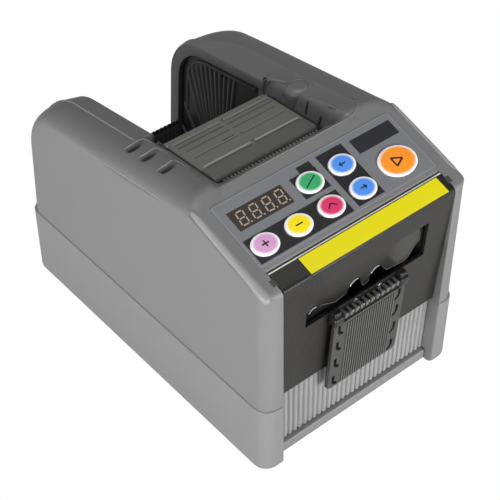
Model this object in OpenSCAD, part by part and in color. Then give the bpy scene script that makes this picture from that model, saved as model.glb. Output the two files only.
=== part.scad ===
// Electric tape dispenser for the desk: a two-part housing with an open tape well, a hinged tape guide,
// a control panel with seven keys, a smoked front cover with a tape tray, feed rollers and a crank cutter.
// Lengths are in millimetres. Inside the modules y runs back from the front of the base and z runs up
// from its underside; in_place() then sets the origin on the table under the middle of the object.

/* [Body] */
// Width of the base
body_w = 131.5; // [126:0.5:145]
// Length of the base, front to back
body_l = 203; // [196:1:225]
// Height of the seam above the base's underside
seam_h = 44; // [40:1:48]
// Step from the base in to the upper housing
seam_step = 0.75; // [0.4:0.05:1.2]
// Wall thickness of both housings
wall = 2.5; // [2:0.1:3]
// Radius of the upright corners
corner_r = 10; // [7:0.5:12]
// Height of the bend between the front and the panel
bend_h = 121; // [118:1:128]
// Tilt of the control panel
panel_tilt = 17.3; // [15.5:0.1:19]
// Distance from the front to the ridge behind the panel
ridge_d = 61.5; // [60:0.5:64]
// Fall of the cheek tops towards the rear
cheek_tilt = 8.4; // [7:0.2:9.6]
// Radius of the round rear end of the cheeks
cheek_r = 33; // [28:1:36]
// Lean of the rear face above the seam
rear_lean = 4; // [2:0.5:6]
// Half width of the flat crest between the shoulders
crest_x = 47; // [44:0.5:50]
// Drop of the round shoulder from the crest to the side wall
shoulder_drop = 6; // [4:0.5:8]
// Height that each foot stands out below the base
foot_h = 2; // [1:0.5:4]
// Diameter of each foot
foot_d = 12; // [10:1:16]
// Depth of the pocket that holds a foot
foot_pocket = 1; // [0.5:0.1:1.5]
// Distance of each foot's middle in from the sides and ends
foot_inset = 16; // [12:1:24]
// Diameter of the pillars that the housing screws go through
post_d = 8; // [7:0.5:9]
// Diameter of the housing screws
screw_d = 2.9; // [2.5:0.1:3.5]
// Diameter of the housing screws' heads
screw_head_d = 5.6; // [5:0.1:6.2]
// Distance of the front screws behind the front
post_front_d = 24; // [20:1:30]
// Distance of the rear screws ahead of the rear
post_rear_d = 23; // [20:1:30]
// Reach of the housing screws above the seam
screw_reach = 12; // [8:1:14]

/* [Front] */
// Width of each column at the table
column_foot_w = 13.5; // [12.5:0.25:14.5]
// Width of each column at the bend
column_top_w = 10.75; // [10:0.25:11.5]
// Thickness of the columns' inner walls
flange_t = 2; // [1.6:0.1:2.4]
// Depth of the columns' inner walls
flange_d = 11; // [10.5:0.5:13]
// Height of the sill under the grooved panel
sill_h = 6.7; // [5:0.1:9]
// Distance of the sill behind the front
sill_d = 5.3; // [4.5:0.1:6]
// Step from the sill back to the grooved panel
panel_step = 2.6; // [2.4:0.1:3]
// Thickness of the grooved panel
panel_t = 2; // [1.6:0.1:2.4]
// Spacing of the panel's grooves
groove_pitch = 3.3; // [2.6:0.1:5]
// Depth of the panel's grooves
groove_depth = 0.7; // [0.4:0.1:1]
// Height that the panel reaches up behind the cover
panel_lap = 8; // [5:1:12]

/* [Front cover] */
// Height of the cover's lower edge
cover_foot_h = 45.5; // [45:0.5:50]
// Distance of the cover's lower edge behind the columns
cover_inset = 4.6; // [4:0.1:4.8]
// Thickness of the cover
cover_t = 2; // [1.6:0.1:2.2]
// Length of the cover up the panel slope
cover_rise = 12.5; // [11.5:0.1:12.8]
// Clearance round the cover
cover_gap = 0.35; // [0.25:0.05:0.5]
// Distance of the hinge pins up the panel slope
pin_up = 7.1; // [6.6:0.1:7.6]
// Depth of the hinge pins' middles below the panel
pin_sink = 2.4; // [2.2:0.1:2.6]
// Diameter of the cover's hinge pins
pin_d = 3; // [2.4:0.1:3.4]
// Diameter of the bosses round the hinge pins
pin_boss_d = 4.8; // [4.4:0.1:5]
// Length of those bosses
pin_boss_l = 4; // [3:0.5:6]
// Height of the outlet's lower edge
outlet_low_h = 88; // [86:0.5:90]
// Height of the outlet's upper edge
outlet_high_h = 107; // [105:0.5:109]
// Width of the outlet
outlet_w = 78; // [70:1:82]
// Gap between the yellow strip and the cover's left end
strip_left_gap = 17; // [14:0.5:22]
// Gap between the yellow strip and the cover's right end
strip_right_gap = 4; // [2:0.5:10]
// Distance of the strip's lower edge above the bend
strip_up = 1.2; // [0.8:0.1:1.6]
// Length of the strip up the slope
strip_l = 10.2; // [9:0.1:10.6]
// Thickness of the strip
strip_t = 0.3; // [0.2:0.1:0.5]
// Height of the clear outlet lip
lip_h = 14; // [12:0.5:16]
// Height by which the lip laps the cover above the outlet
lip_lap = 4; // [3:0.5:5]
// Thickness of the clear outlet lip
lip_t = 1.6; // [1.2:0.1:2]
// Radius of the lip's scallops
scallop_r = 11; // [9:0.5:12.5]

/* [Tape tray] */
// Width of the tape tray
tray_w = 47; // [42:1:52]
// Length of the tray below its hinge
tray_l = 51; // [44:1:54]
// Thickness of the tray plate
tray_t = 2.2; // [1.8:0.1:2.6]
// Distance of the tray's hinge below the bend
tray_drop = 38.3; // [38:0.1:39.5]
// Diameter of the tray's hinge pin
tray_pin_d = 1.8; // [1.5:0.1:2.2]
// Diameter of the tray's hinge knuckles
knuckle_d = 4; // [3.6:0.1:4.6]
// Length of each end knuckle
knuckle_l = 4; // [3:0.5:6]
// Thickness of the tray bracket
bracket_t = 1; // [0.8:0.1:1.4]
// Reach of the bracket above the tray's hinge
bracket_reach = 4.6; // [4.4:0.1:4.7]
// Spacing of the two bracket screws
tray_screw_pitch = 16; // [12:1:24]
// Diameter of the bracket screws' heads
tray_screw_d = 2.6; // [2:0.1:3]
// Height of the bracket screws' heads
tray_screw_h = 0.8; // [0.5:0.1:0.9]
// Height of the ribs on the tray
tray_rib_h = 0.6; // [0.3:0.1:0.8]
// Number of ribs on the tray
tray_rib_n = 9; // [5:2:13]

/* [Control panel] */
// Distance of the control overlay from the housing's widest side
overlay_side = 10.75; // [9.5:0.25:13.5]
// Length of the control overlay up the slope
overlay_l = 38; // [37:0.5:39]
// Distance of the overlay's lower edge above the bend
overlay_up = 16; // [15.5:0.1:16.4]
// Thickness of the overlay
overlay_t = 0.8; // [0.5:0.1:1.2]
// Radius of the overlay's corners
overlay_r = 3; // [2:0.5:5]
// Width of the display window
display_w = 32.6; // [30:0.2:34]
// Length of the display window up the slope
display_l = 11.3; // [10:0.1:12]
// Sideways place of the display window, as a share of the overlay's width
display_share = -0.3173; // [-0.326:0.001:-0.31]
// Place of the display window above the bend
display_up = 42.1; // [41.6:0.1:43]
// Ledge under each edge of the display window
display_ledge = 0.8; // [0.5:0.1:1.2]
// Width of a small key
key_w = 15.2; // [14:0.1:16]
// Length of a small key up the slope
key_l = 12; // [11:0.1:12.6]
// Width of the large key
start_w = 22.4; // [20:0.2:24]
// Length of the large key up the slope
start_l = 17.6; // [16:0.2:19]
// Sideways place of the first column of small keys, as a share of the overlay's width
key_share = -0.4173; // [-0.418:0.001:-0.4]
// Spacing of the columns of small keys, as a share of the overlay's width
key_pitch_share = 0.1845; // [0.18:0.001:0.187]
// Place of the lower row of keys above the bend
key_low_up = 25.2; // [25:0.1:25.6]
// Place of the upper row of keys above the bend
key_high_up = 41; // [40.6:0.1:41.6]
// Sideways place of the large key, as a share of the overlay's width
start_share = 0.3691; // [0.355:0.001:0.372]
// Place of the large key above the bend
start_up = 28.5; // [28:0.1:30]
// Height of the keys above the overlay
key_rise = 1.2; // [1:0.1:2]
// Travel of the keys
key_travel = 0.6; // [0.4:0.1:0.8]
// Clearance round the keys
key_gap = 0.3; // [0.2:0.05:0.4]
// Width of the rim that keeps each key in
key_rim = 1.2; // [0.8:0.1:1.4]
// Thickness of that rim
key_rim_t = 1; // [0.8:0.1:1.4]
// Height of the key switches
switch_h = 3; // [2.5:0.1:3.6]
// Width of the key switches
switch_w = 6; // [5:0.5:7]
// Thickness of the circuit boards
board_t = 1.6; // [1.2:0.1:2]
// Distance of the key board's ends from the housing's widest side
key_board_side = 5.75; // [4.75:0.25:6.75]
// Diameter of the posts that carry the boards
board_post_d = 5; // [4:0.5:5.5]

/* [Tape well and guide] */
// Width between the cheeks
well_w = 68; // [62:1:72]
// Distance of the well behind the front
well_d = 120; // [118:1:124]
// Thickness of the cheeks' inner walls
rim_t = 2; // [1.6:0.1:2.4]
// Width of the rim round the opening in each inner wall
rim_w = 8; // [6:0.5:10]
// Height of the housing's wall behind the well
rear_sill_h = 53; // [50:1:58]
// Height of the liner's rear wall above that wall
liner_rise = 3; // [2:0.5:6]
// Thickness of the liner
liner_t = 2; // [1.6:0.1:2.4]
// Clearance round the liner
liner_gap = 0.2; // [0.1:0.05:0.4]
// Height of the liner's floor
liner_floor_h = 33; // [30:1:36]
// Width of the axle slots in the liner
axle_slot_w = 7; // [5:0.5:9]
// Distance of the axle slots behind the well's front
axle_slot_d = 34; // [28:1:44]
// Height of the bottom of the axle slots
axle_slot_h = 88; // [80:1:95]
// Clearance between the tape guide and the cheeks
guide_gap = 1; // [0.5:0.1:1.5]
// Distance of the guide's front edge behind the front
guide_d = 78; // [76:0.5:80]
// Height of the guide's front edge
guide_front_h = 126; // [125:0.5:127]
// Height of the guide's rear edge
guide_rear_h = 122.6; // [122:0.2:123.4]
// Thickness of the tape guide
guide_t = 3; // [2.4:0.1:3.4]
// Diameter of the guide's hinge pin
guide_pin_d = 3; // [2:0.2:3.4]
// Diameter of the guide's hinge barrel
barrel_d = 6; // [5:0.2:6.4]
// Distance of the hinge pin ahead of the well
guide_pin_lead = 3.5; // [3.3:0.1:4]
// Depth of the hinge pin below the guide's rear edge
guide_pin_sink = 2; // [1.6:0.1:2.4]
// Height of the ribs on the guide
guide_rib_h = 0.9; // [0.5:0.1:1.2]
// Width of the ribs on the guide
guide_rib_w = 1.4; // [1:0.1:2]
// Width of the inlet slot ahead of the guide
inlet_w = 60; // [54:1:62]
// Length of the inlet slot, front to back
inlet_l = 5.6; // [5:0.1:6.5]

/* [Feed drive] */
// Clearance of a shaft in its hole
run_gap = 0.05; // [0.03:0.01:0.08]
// Thickness of the frame plates
frame_t = 2; // [1.6:0.1:2.4]
// Distance of the frame plates' front edges behind the front
frame_d = 8.4; // [8.2:0.1:8.8]
// Length of the frame plates
frame_l = 60; // [58:1:61]
// Distance of the roller nip behind the front
nip_d = 32; // [31:0.5:34]
// Height of the roller nip
nip_h = 105; // [104.5:0.5:106]
// Slope of the tape's path through the nip
path_tilt = 21.6; // [19:0.2:24]
// Gap between the two rollers
nip_gap = 0.3; // [0.2:0.05:0.5]
// Diameter of the feed roller
feed_d = 24; // [20:0.5:25]
// Diameter of the press roller
press_d = 12; // [10:0.5:12.6]
// Length of both rollers
roller_l = 62; // [54:1:70]
// Diameter of the feed shaft
feed_shaft_d = 6; // [5:0.5:7]
// Diameter of the press shaft
press_shaft_d = 4; // [3:0.5:5]
// Wall of the shaft bushes
bush_wall = 2; // [1.5:0.1:2.2]
// Width of the bushes' flanges
bush_flange = 1.2; // [0.8:0.1:1.4]
// Module of the gears
gear_module = 1; // [0.9:0.05:1.05]
// Teeth of the feed gear
feed_teeth = 30; // [26:1:32]
// Teeth of the idler gear
idler_teeth = 36; // [30:1:38]
// Teeth of the motor pinion
pinion_teeth = 12; // [11:1:14]
// Width of the gears
gear_t = 5; // [4:0.5:5.4]
// Gap between a frame plate and the wheel beside it
wheel_gap = 0.8; // [0.6:0.1:1]
// Direction from the feed gear down to the idler gear
idler_dir = -77; // [-82:1:-74]
// Direction from the idler gear down to the motor pinion
pinion_dir = -70; // [-80:1:-66]
// Diameter of the idler's pin
idler_pin_d = 4; // [3:0.5:5]
// Diameter of the feed motor
feed_motor_d = 32; // [28:1:34]
// Length of the feed motor
feed_motor_l = 44; // [38:1:46]
// Diameter of the motors' output shafts
motor_shaft_d = 4; // [3:0.5:5]
// Depth of the output shafts in the motors
motor_shaft_in = 12; // [8:1:16]
// Diameter of the tie bars
tie_d = 5; // [4:0.5:6]

/* [Cutter] */
// Diameter of the cutter motor
cutter_motor_d = 28; // [24:1:30]
// Length of the cutter motor
cutter_motor_l = 38; // [34:1:40]
// Distance of the crank behind the front
crank_d = 26; // [25:0.5:28]
// Height of the crank
crank_h = 62; // [60:0.5:64]
// Throw of the crank pin, half the blade's stroke
crank_throw = 5; // [4.5:0.1:5.2]
// Diameter of the crank disc
crank_disc_d = 20; // [18:0.5:22]
// Thickness of the crank disc
crank_t = 3; // [2.4:0.2:3.4]
// Diameter of the crank pin
crank_pin_d = 4; // [3:0.2:4.4]
// Thickness of the carrier's side arm
arm_t = 2; // [1.6:0.1:2.2]
// Gap on each side of the arm
arm_gap = 0.4; // [0.3:0.1:0.6]
// Distance of the carrier bar behind the front
bar_d = 10.5; // [10.3:0.1:10.8]
// Thickness of the carrier bar
bar_t = 3; // [2.6:0.1:3.2]
// Drop of the carrier bar's lower edge below the bend
bar_drop = 15.8; // [15.2:0.2:16.4]
// Depth of the carrier bar, top to bottom
bar_l = 6.5; // [5.5:0.1:6.8]
// Clearance of the bar in the frame's slots
slide_gap = 0.15; // [0.1:0.05:0.2]
// Width of the blades
blade_w = 68; // [60:1:74]
// Thickness of the blades
blade_t = 1.2; // [0.8:0.1:1.3]
// Gap between the blades
blade_gap = 0.1; // [0.08:0.02:0.2]
// Drop of the moving blade's edge below the carrier bar
blade_drop = 3.7; // [2.8:0.1:4.2]
// Opening between the blades' edges at rest
blade_open = 7; // [6.2:0.1:7.5]
// Depth of the fixed blade, top to bottom
fixed_blade_l = 14; // [11:0.5:15]
// Thickness of the blade bed
bed_t = 4; // [3:0.2:4.4]
// Drop of the bed's top below the fixed edge
bed_drop = 2.5; // [2:0.1:3.5]
// Depth of the bed, top to bottom
bed_l = 14; // [11:0.5:15]
// Diameter of the blade screws' heads
blade_screw_d = 4.4; // [3.6:0.1:5]
// Height of the blade screws' heads
blade_screw_h = 1.2; // [0.8:0.1:1.6]
// Spacing of the blade screws
blade_screw_pitch = 22; // [16:1:28]
// Height of the tape sensor
sensor_h = 3.4; // [2.6:0.1:3.8]
// Length of the tape sensor
sensor_w = 8; // [6:0.5:12]

/* [Electrics] */
// Width of the main board
main_board_w = 84; // [70:1:96]
// Length of the main board
main_board_l = 42; // [36:1:44]
// Height of the main board above the base's floor
main_board_up = 4; // [3:0.5:8]
// Diameter of the capacitors on the main board
capacitor_d = 10; // [8:0.5:11]
// Height of those capacitors
capacitor_h = 14; // [10:0.5:18]
// Width of the controller chip
chip_w = 14; // [10:1:16]
// Thickness of that chip
chip_t = 2; // [1:0.2:3]
// Width of the plug socket on the main board
plug_w = 6; // [5:0.5:8]
// Length of that socket
plug_l = 16; // [12:1:20]
// Height of that socket
plug_h = 12; // [8:0.5:14]
// Distance of the liner's posts from the ends of the well
liner_post_lead = 11; // [10:0.5:14]
// Distance of the liner's posts from the sides of the well
liner_post_side = 6; // [5:0.5:9]
// Depth of the rocker's axis in the switch frame
rocker_sink = 5; // [4.6:0.1:5.4]
// Depth of the bay for the inlet and switch
bay_depth = 4; // [3.5:0.1:5]
// Width of that bay
bay_w = 76; // [70:1:84]
// Height of that bay
bay_h = 22; // [20:0.5:24]
// Sideways distance of the inlet and the switch from the middle
inlet_x = 20; // [18:0.5:24]
// Diameter of the power inlet's mouth
jack_d = 8; // [7:0.5:10]
// Diameter of the inlet's centre pin
jack_pin_d = 2.1; // [1.6:0.1:2.6]
// Width of the inlet's body
jack_w = 12; // [11:0.5:14]
// Length of the inlet's body
jack_l = 14; // [12:1:16]
// Width of the switch frame
switch_frame_w = 21; // [18:0.5:24]
// Height of the switch frame
switch_frame_h = 15; // [13:0.5:16]
// Thickness of the switch frame's rim
switch_rim = 2; // [1.6:0.1:2.4]
// Depth of the switch body
switch_frame_l = 14; // [13.5:0.5:18]
// Rock of the switch each way
rocker_angle = 8; // [6:1:10]

/* [Hidden] */
$fn = 64;

// A length that reaches past anything that it cuts, and the small overlap that keeps cuts clean
far = 400;
sliver = 0.01;

// Upper housing: the panel line, the cheek line and the round rear end, all for a given inset
upper_w = body_w - 2 * seam_step;
upper_rear = body_l - seam_step;
function panel_z(y) = bend_h + y * tan(panel_tilt);
ridge_h = panel_z(ridge_d);
rear_a = ridge_d * sin(cheek_tilt) + ridge_h * cos(cheek_tilt) - cheek_r;
rear_b = upper_rear * cos(rear_lean) + seam_h * sin(rear_lean) - cheek_r;
rear_det = cos(cheek_tilt + rear_lean);
rear_c = [(rear_b * cos(cheek_tilt) - rear_a * sin(rear_lean)) / rear_det,
    (rear_a * cos(rear_lean) - rear_b * sin(cheek_tilt)) / rear_det];
function arc(c, r, a0, a1, n) = [for (i = [0:n]) c + r * [cos(a0 + (a1 - a0) * i / n), sin(a0 + (a1 - a0) * i / n)]];
function rear_y(inset, z) = rear_c[0] + (cheek_r - inset) / cos(rear_lean) + (rear_c[1] - z) * tan(rear_lean);
function ridge_y(inset) = ridge_d
    + inset * (1 / cos(panel_tilt) - 1 / cos(cheek_tilt)) / (tan(panel_tilt) + tan(cheek_tilt));
function under_panel(y, inset) = panel_z(y) - inset / cos(panel_tilt);
function side_outline(inset, z0) = concat(
    [[seam_step + inset, z0], [seam_step + inset, under_panel(seam_step + inset, inset)]],
    [[ridge_y(inset), under_panel(ridge_y(inset), inset)]],
    arc(rear_c, cheek_r - inset, 90 - cheek_tilt, rear_lean, 14),
    [[rear_y(inset, z0), z0]]);

// The round shoulder, as half an outline across the crest
shoulder_r = (pow(upper_w / 2 - crest_x, 2) + pow(shoulder_drop, 2)) / (2 * shoulder_drop);
function shoulder_half(inset) = let (reach = upper_w / 2 - inset - crest_x, r = shoulder_r - inset)
    arc([crest_x, -shoulder_r], r, 90, acos(reach / r), 8);

// Front recess, cover and tray
recess_foot_w = body_w - 2 * column_foot_w;
recess_top_w = body_w - 2 * column_top_w;
strip_w = recess_top_w - strip_left_gap - strip_right_gap;
strip_x = (strip_left_gap - strip_right_gap) / 2;
deck = wall;
function recess_half(z) = (recess_foot_w + (recess_top_w - recess_foot_w) * z / bend_h) / 2;
cover_y = seam_step;
cover_z = panel_z(seam_step);
cover_lean = atan(cover_inset / (cover_z - cover_foot_h));
in_normal = [cos(cover_lean), sin(cover_lean)];
under_normal = [sin(panel_tilt), -cos(panel_tilt)];
cover_corner = [cover_y, cover_z] + cover_t * (in_normal + under_normal) / (1 + in_normal * under_normal);
pin_rear = cover_rise - pin_up;
deck_up = pin_up + sqrt(pin_rear * pin_rear + pin_sink * pin_sink) + cover_gap + deck * tan(panel_tilt);
function on_slope(s, n) = [s * cos(panel_tilt) - n * sin(panel_tilt), bend_h + s * sin(panel_tilt) + n * cos(panel_tilt)];
pin_at = on_slope(pin_up, -pin_sink);
hinge_out = bracket_t + cover_gap + knuckle_d / 2;
tray_front = hinge_out + knuckle_d / 2;
front_reach = tray_front * cos(cover_lean) - cover_y - tray_drop * sin(cover_lean);
mid_d = (body_l - front_reach) / 2;

// Keys and the boards under the panel
overlay_w = body_w - 2 * overlay_side;
display_x = display_share * overlay_w;
key_x = key_share * overlay_w;
key_pitch = key_pitch_share * overlay_w;
start_x = start_share * overlay_w;
key_board_w = body_w - 2 * key_board_side;
rim_top = -deck - key_gap;
rim_low = rim_top - key_rim_t;
switch_top = rim_low - key_travel - sliver;
board_top = switch_top - switch_h;
board_low = board_top - board_t;
keys = [["plus", key_x, key_low_up], ["minus", key_x + key_pitch, key_low_up],
    ["red", key_x + 2 * key_pitch, key_low_up], ["green", key_x + 2 * key_pitch, key_high_up],
    ["blue_rear", key_x + 3 * key_pitch, key_high_up], ["blue_front", key_x + 3 * key_pitch, key_low_up]];
board_edge = 1.5;
board_up0 = overlay_up - board_edge;
board_up1 = overlay_up + overlay_l + board_edge;
board_post_x = key_board_w / 2 - board_post_d / 2;
board_post_ups = [board_up0 + board_post_d / 2, board_up1 - board_post_d / 2];

// Tape guide and the valley that it lies in
well_half = well_w / 2;
guide_l = well_d - guide_pin_lead - barrel_d / 2 - guide_d;
guide_pin_y = well_d - guide_pin_lead;
guide_pin_z = guide_rear_h - guide_pin_sink;
guide_half = well_half - guide_gap;
guide_fall = (guide_front_h - guide_rear_h) / guide_l;
function guide_z(y) = guide_front_h - (y - guide_d) * guide_fall;
valley_gap = 0.3;
valley_up = overlay_up + overlay_l + 2;
valley_front = on_slope(valley_up, 0);
lip_y = guide_d - inlet_l - 0.4;
guide_rib_rows = [0.16, 0.3, 0.52, 0.76];

// Frame, rollers and gears
frame_floor = wall;
frame_half = recess_foot_w / 2 - frame_t - wheel_gap - crank_t - 2 * arm_gap - arm_t - wheel_gap;
plate_x = frame_half + frame_t;
wheel_x = plate_x + wheel_gap;
shaft_end = 1;
path_normal = [sin(path_tilt), -cos(path_tilt)];
feed_at = [nip_d, nip_h] + path_normal * (feed_d + nip_gap) / 2;
press_at = [nip_d, nip_h] - path_normal * (press_d + nip_gap) / 2;
idler_at = feed_at + gear_module * (feed_teeth + idler_teeth) / 2 * [cos(idler_dir), sin(idler_dir)];
motor_at = idler_at + gear_module * (idler_teeth + pinion_teeth) / 2 * [cos(pinion_dir), sin(pinion_dir)];
feed_bush_d = feed_shaft_d + 2 * run_gap + 2 * bush_wall;
press_bush_d = press_shaft_d + 2 * run_gap + 2 * bush_wall;
bush_rim_t = 1;
tie_places = [[frame_d + frame_l - 8, 96], [frame_d + 8, 36]];

// Gear teeth: involute flanks with a little backlash, and phases that put every pair in mesh
pressure = 20;
backlash = 1.2;
function involute(a) = tan(a) * 180 / PI - a;
function pitch_r(n) = n * gear_module / 2;
function base_r(n) = pitch_r(n) * cos(pressure);
function root_r(n) = min(pitch_r(n) - 1.2 * gear_module, base_r(n) - 0.05);
function half_tooth(n, r) = (90 - 90 * backlash / 10) / n + involute(pressure) - involute(acos(min(1, base_r(n) / r)));
function tooth_radii(n) = [root_r(n), base_r(n), pitch_r(n), pitch_r(n) + 0.85 * gear_module];
function gear_points(n) = [for (k = [0:n - 1]) for (i = [0:7])
    let (r = tooth_radii(n)[i < 4 ? i : 7 - i], a = k * 360 / n + (i < 4 ? -1 : 1) * half_tooth(n, r))
    r * [cos(a), sin(a)]];
feed_turn = idler_dir;
idler_turn = idler_dir + 180 + 180 / idler_teeth;
pinion_turn = pinion_dir + 180 - (180 - idler_teeth * (pinion_dir - idler_turn)) / pinion_teeth;

// Cutter
stroke = 2 * crank_throw;
crank_at = [crank_d, crank_h];
crank_pin_z = crank_h + crank_throw;
crank_slack = 0.21 * crank_throw + 0.25;
arm_x = wheel_x + crank_t + arm_gap;
blade_d = bar_d + bar_t;
fixed_d = blade_d + blade_t + blade_gap;
bed_d = fixed_d + blade_t;
bar_h = bend_h - bar_drop;
moving_edge_h = bar_h - blade_drop;
fixed_edge_h = moving_edge_h - blade_open;
bed_top = fixed_edge_h - bed_drop;
yoke_wall = 2.5;
slot_end = 0.4;
yoke_low = crank_pin_z - crank_pin_d / 2 - crank_slack - yoke_wall;
yoke_rear = crank_d + crank_throw + crank_pin_d / 2 + crank_slack + yoke_wall;

// Electrics
bay_floor = body_l - bay_depth;
bay_mid_h = liner_floor_h - liner_t - cover_gap - wall - bay_h / 2;
rocker_hole_w = switch_frame_w - 2 * switch_rim;
rocker_hole_h = switch_frame_h - 2 * switch_rim;
rocker_gap = 0.5;
rocker_proud = 1.6;
main_board_d = frame_d + frame_l + 4;

// Puts the object's middle over the origin, with the feet on the table
module in_place() translate([0, -mid_d, foot_h]) children();

// Frame on the panel: x across, y up the slope, z out of the panel
module on_panel() translate([0, 0, bend_h]) rotate([panel_tilt, 0, 0]) children();

// Frame on the cover's front: x across, y into the cover, z up along it from the bend
module on_cover() translate([0, cover_y, cover_z]) rotate([cover_lean, 0, 0]) children();

// Extrudes an outline drawn as (y, z) from x0 to x1
module across(x0, x1) translate([x0, 0, 0]) rotate([90, 0, 90]) linear_extrude(x1 - x0) children();

// A round bar along x at [y, z]
module rod(at, d, x0, x1) translate([x0, at[0], at[1]]) rotate([0, 90, 0]) cylinder(d = d, h = x1 - x0);

// A box by its lowest corner and its highest
module block(lo, hi) translate(lo) cube(hi - lo);

module rounded_rect(w, l, r) {
    translate([-w / 2 + r, 0]) square([w - 2 * r, l]);
    translate([-w / 2, r]) square([w, l - 2 * r]);
    for (x = [r - w / 2, w / 2 - r], y = [r, l - r]) translate([x, y]) circle(r);
}

function oval(w, l) = [for (a = [0:9:351]) [w / 2 * cos(a), l / 2 * sin(a)]];

// Solid form of the upper housing, drawn in on every side by an inset
module upper_solid(inset) intersection() {
    across(-upper_w / 2 + inset, upper_w / 2 - inset) polygon(side_outline(inset, seam_h));
    translate([0, seam_step + inset, seam_h]) linear_extrude(far)
        rounded_rect(upper_w - 2 * inset, upper_rear - seam_step - 2 * inset, corner_r - inset);
    translate([0, ridge_d, ridge_h]) rotate([90 - cheek_tilt, 0, 0]) linear_extrude(far * 2, center = true)
        polygon(concat([for (p = shoulder_half(inset)) p], [[upper_w / 2 - inset, -far], [inset - upper_w / 2, -far]],
            [for (i = [8:-1:0]) [-shoulder_half(inset)[i][0], shoulder_half(inset)[i][1]]]));
}

// The tapered space between the columns, grown by g on each side
module recess(g, y0, y1, z0, z1) translate([0, y1, 0]) rotate([90, 0, 0]) linear_extrude(y1 - y0)
    polygon([[-recess_half(z0) - g, z0], [recess_half(z0) + g, z0],
        [recess_half(z1) + g, z1], [-recess_half(z1) - g, z1]]);

// The space between the cheeks, grown by g
module well_space(g) block([-well_half - g, well_d - g, -far], [well_half + g, far, far]);

// The valley that the tape guide lies in, grown by g
module valley(g) intersection() {
    across(-far, far) polygon([[valley_front[0] - g, far], [valley_front[0] - g, valley_front[1] - g],
        [lip_y - g, guide_front_h + 0.4 - g], [lip_y - g, guide_front_h - guide_t - valley_gap - g],
        [guide_pin_y - barrel_d / 2 - 2, guide_z(guide_pin_y - barrel_d / 2 - 2) - guide_t - valley_gap - g],
        [guide_pin_y - barrel_d / 2 - 2, guide_pin_z - barrel_d / 2 - valley_gap - g],
        [well_d + sliver, guide_pin_z - barrel_d / 2 - valley_gap - g], [well_d + sliver, far]]);
    translate([0, well_d + sliver, 0]) rotate([90, 0, 0]) linear_extrude(well_d)
        polygon([[-well_half - g, 0], [well_half + g, 0], [well_half + g, guide_front_h - 1],
            [well_half + g + far, guide_front_h - 1 + far], [-well_half - g - far, guide_front_h - 1 + far],
            [-well_half - g, guide_front_h - 1]]);
}

post_x = body_w / 2 - wall - post_d / 2 - 1.2;
post_places = [for (x = [-post_x, post_x], y = [post_front_d, body_l - post_rear_d]) [x, y]];

module base_tray() color([0.60, 0.60, 0.60]) in_place() difference() {
    union() {
        difference() {
            linear_extrude(seam_h) rounded_rect(body_w, body_l, corner_r);
            translate([0, wall, wall]) linear_extrude(far)
                rounded_rect(body_w - 2 * wall, body_l - 2 * wall, corner_r - wall);
        }
        recess(flange_t, wall / 2, flange_d, wall / 2, seam_h);
        block([-bay_w / 2 - wall, bay_floor - wall, wall / 2],
            [bay_w / 2 + wall, body_l - wall / 2, bay_mid_h + bay_h / 2 + wall]);
        for (p = post_places) translate([p[0], p[1], wall / 2]) cylinder(d = post_d, h = seam_h - wall / 2);
        for (x = [-1, 1], y = [well_d + liner_post_lead, bay_floor - wall - liner_post_lead])
            translate([x * (well_half - liner_post_side), y, wall / 2])
                cylinder(d = board_post_d, h = liner_floor_h - liner_t - wall / 2);
        for (x = [-1, 1], y = [0, 1]) translate([x * (main_board_w / 2 - board_post_d), main_board_d + board_post_d
            + y * (main_board_l - 2 * board_post_d), wall / 2]) cylinder(d = board_post_d, h = wall / 2 + main_board_up);
    }
    intersection() {
        recess(0, -1, flange_d + 1, -1, seam_h + 1);
        across(-far, far) polygon([[-2, -2], [sill_d, -2], [sill_d, sill_h], [far, sill_h], [far, far], [-2, far]]);
    }
    block([-bay_w / 2, bay_floor, bay_mid_h - bay_h / 2], [bay_w / 2, far, bay_mid_h + bay_h / 2]);
    for (p = post_places) translate([p[0], p[1], -1]) {
        cylinder(d = screw_d + 0.5, h = far);
        cylinder(d = screw_head_d + 0.5, h = 4);
    }
    for (x = [-1, 1], y = [foot_inset, body_l - foot_inset])
        translate([x * (body_w / 2 - foot_inset), y, -1]) cylinder(d = foot_d, h = 1 + foot_pocket);
    translate([inlet_x, bay_floor - wall - 1, bay_mid_h]) rotate([-90, 0, 0]) cylinder(d = jack_d, h = wall + 2);
    block([-inlet_x - switch_frame_w / 2 + 1, bay_floor - wall - 1, bay_mid_h - switch_frame_h / 2 + 1],
        [-inlet_x + switch_frame_w / 2 - 1, bay_floor + 1, bay_mid_h + switch_frame_h / 2 - 1]);
}

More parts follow.
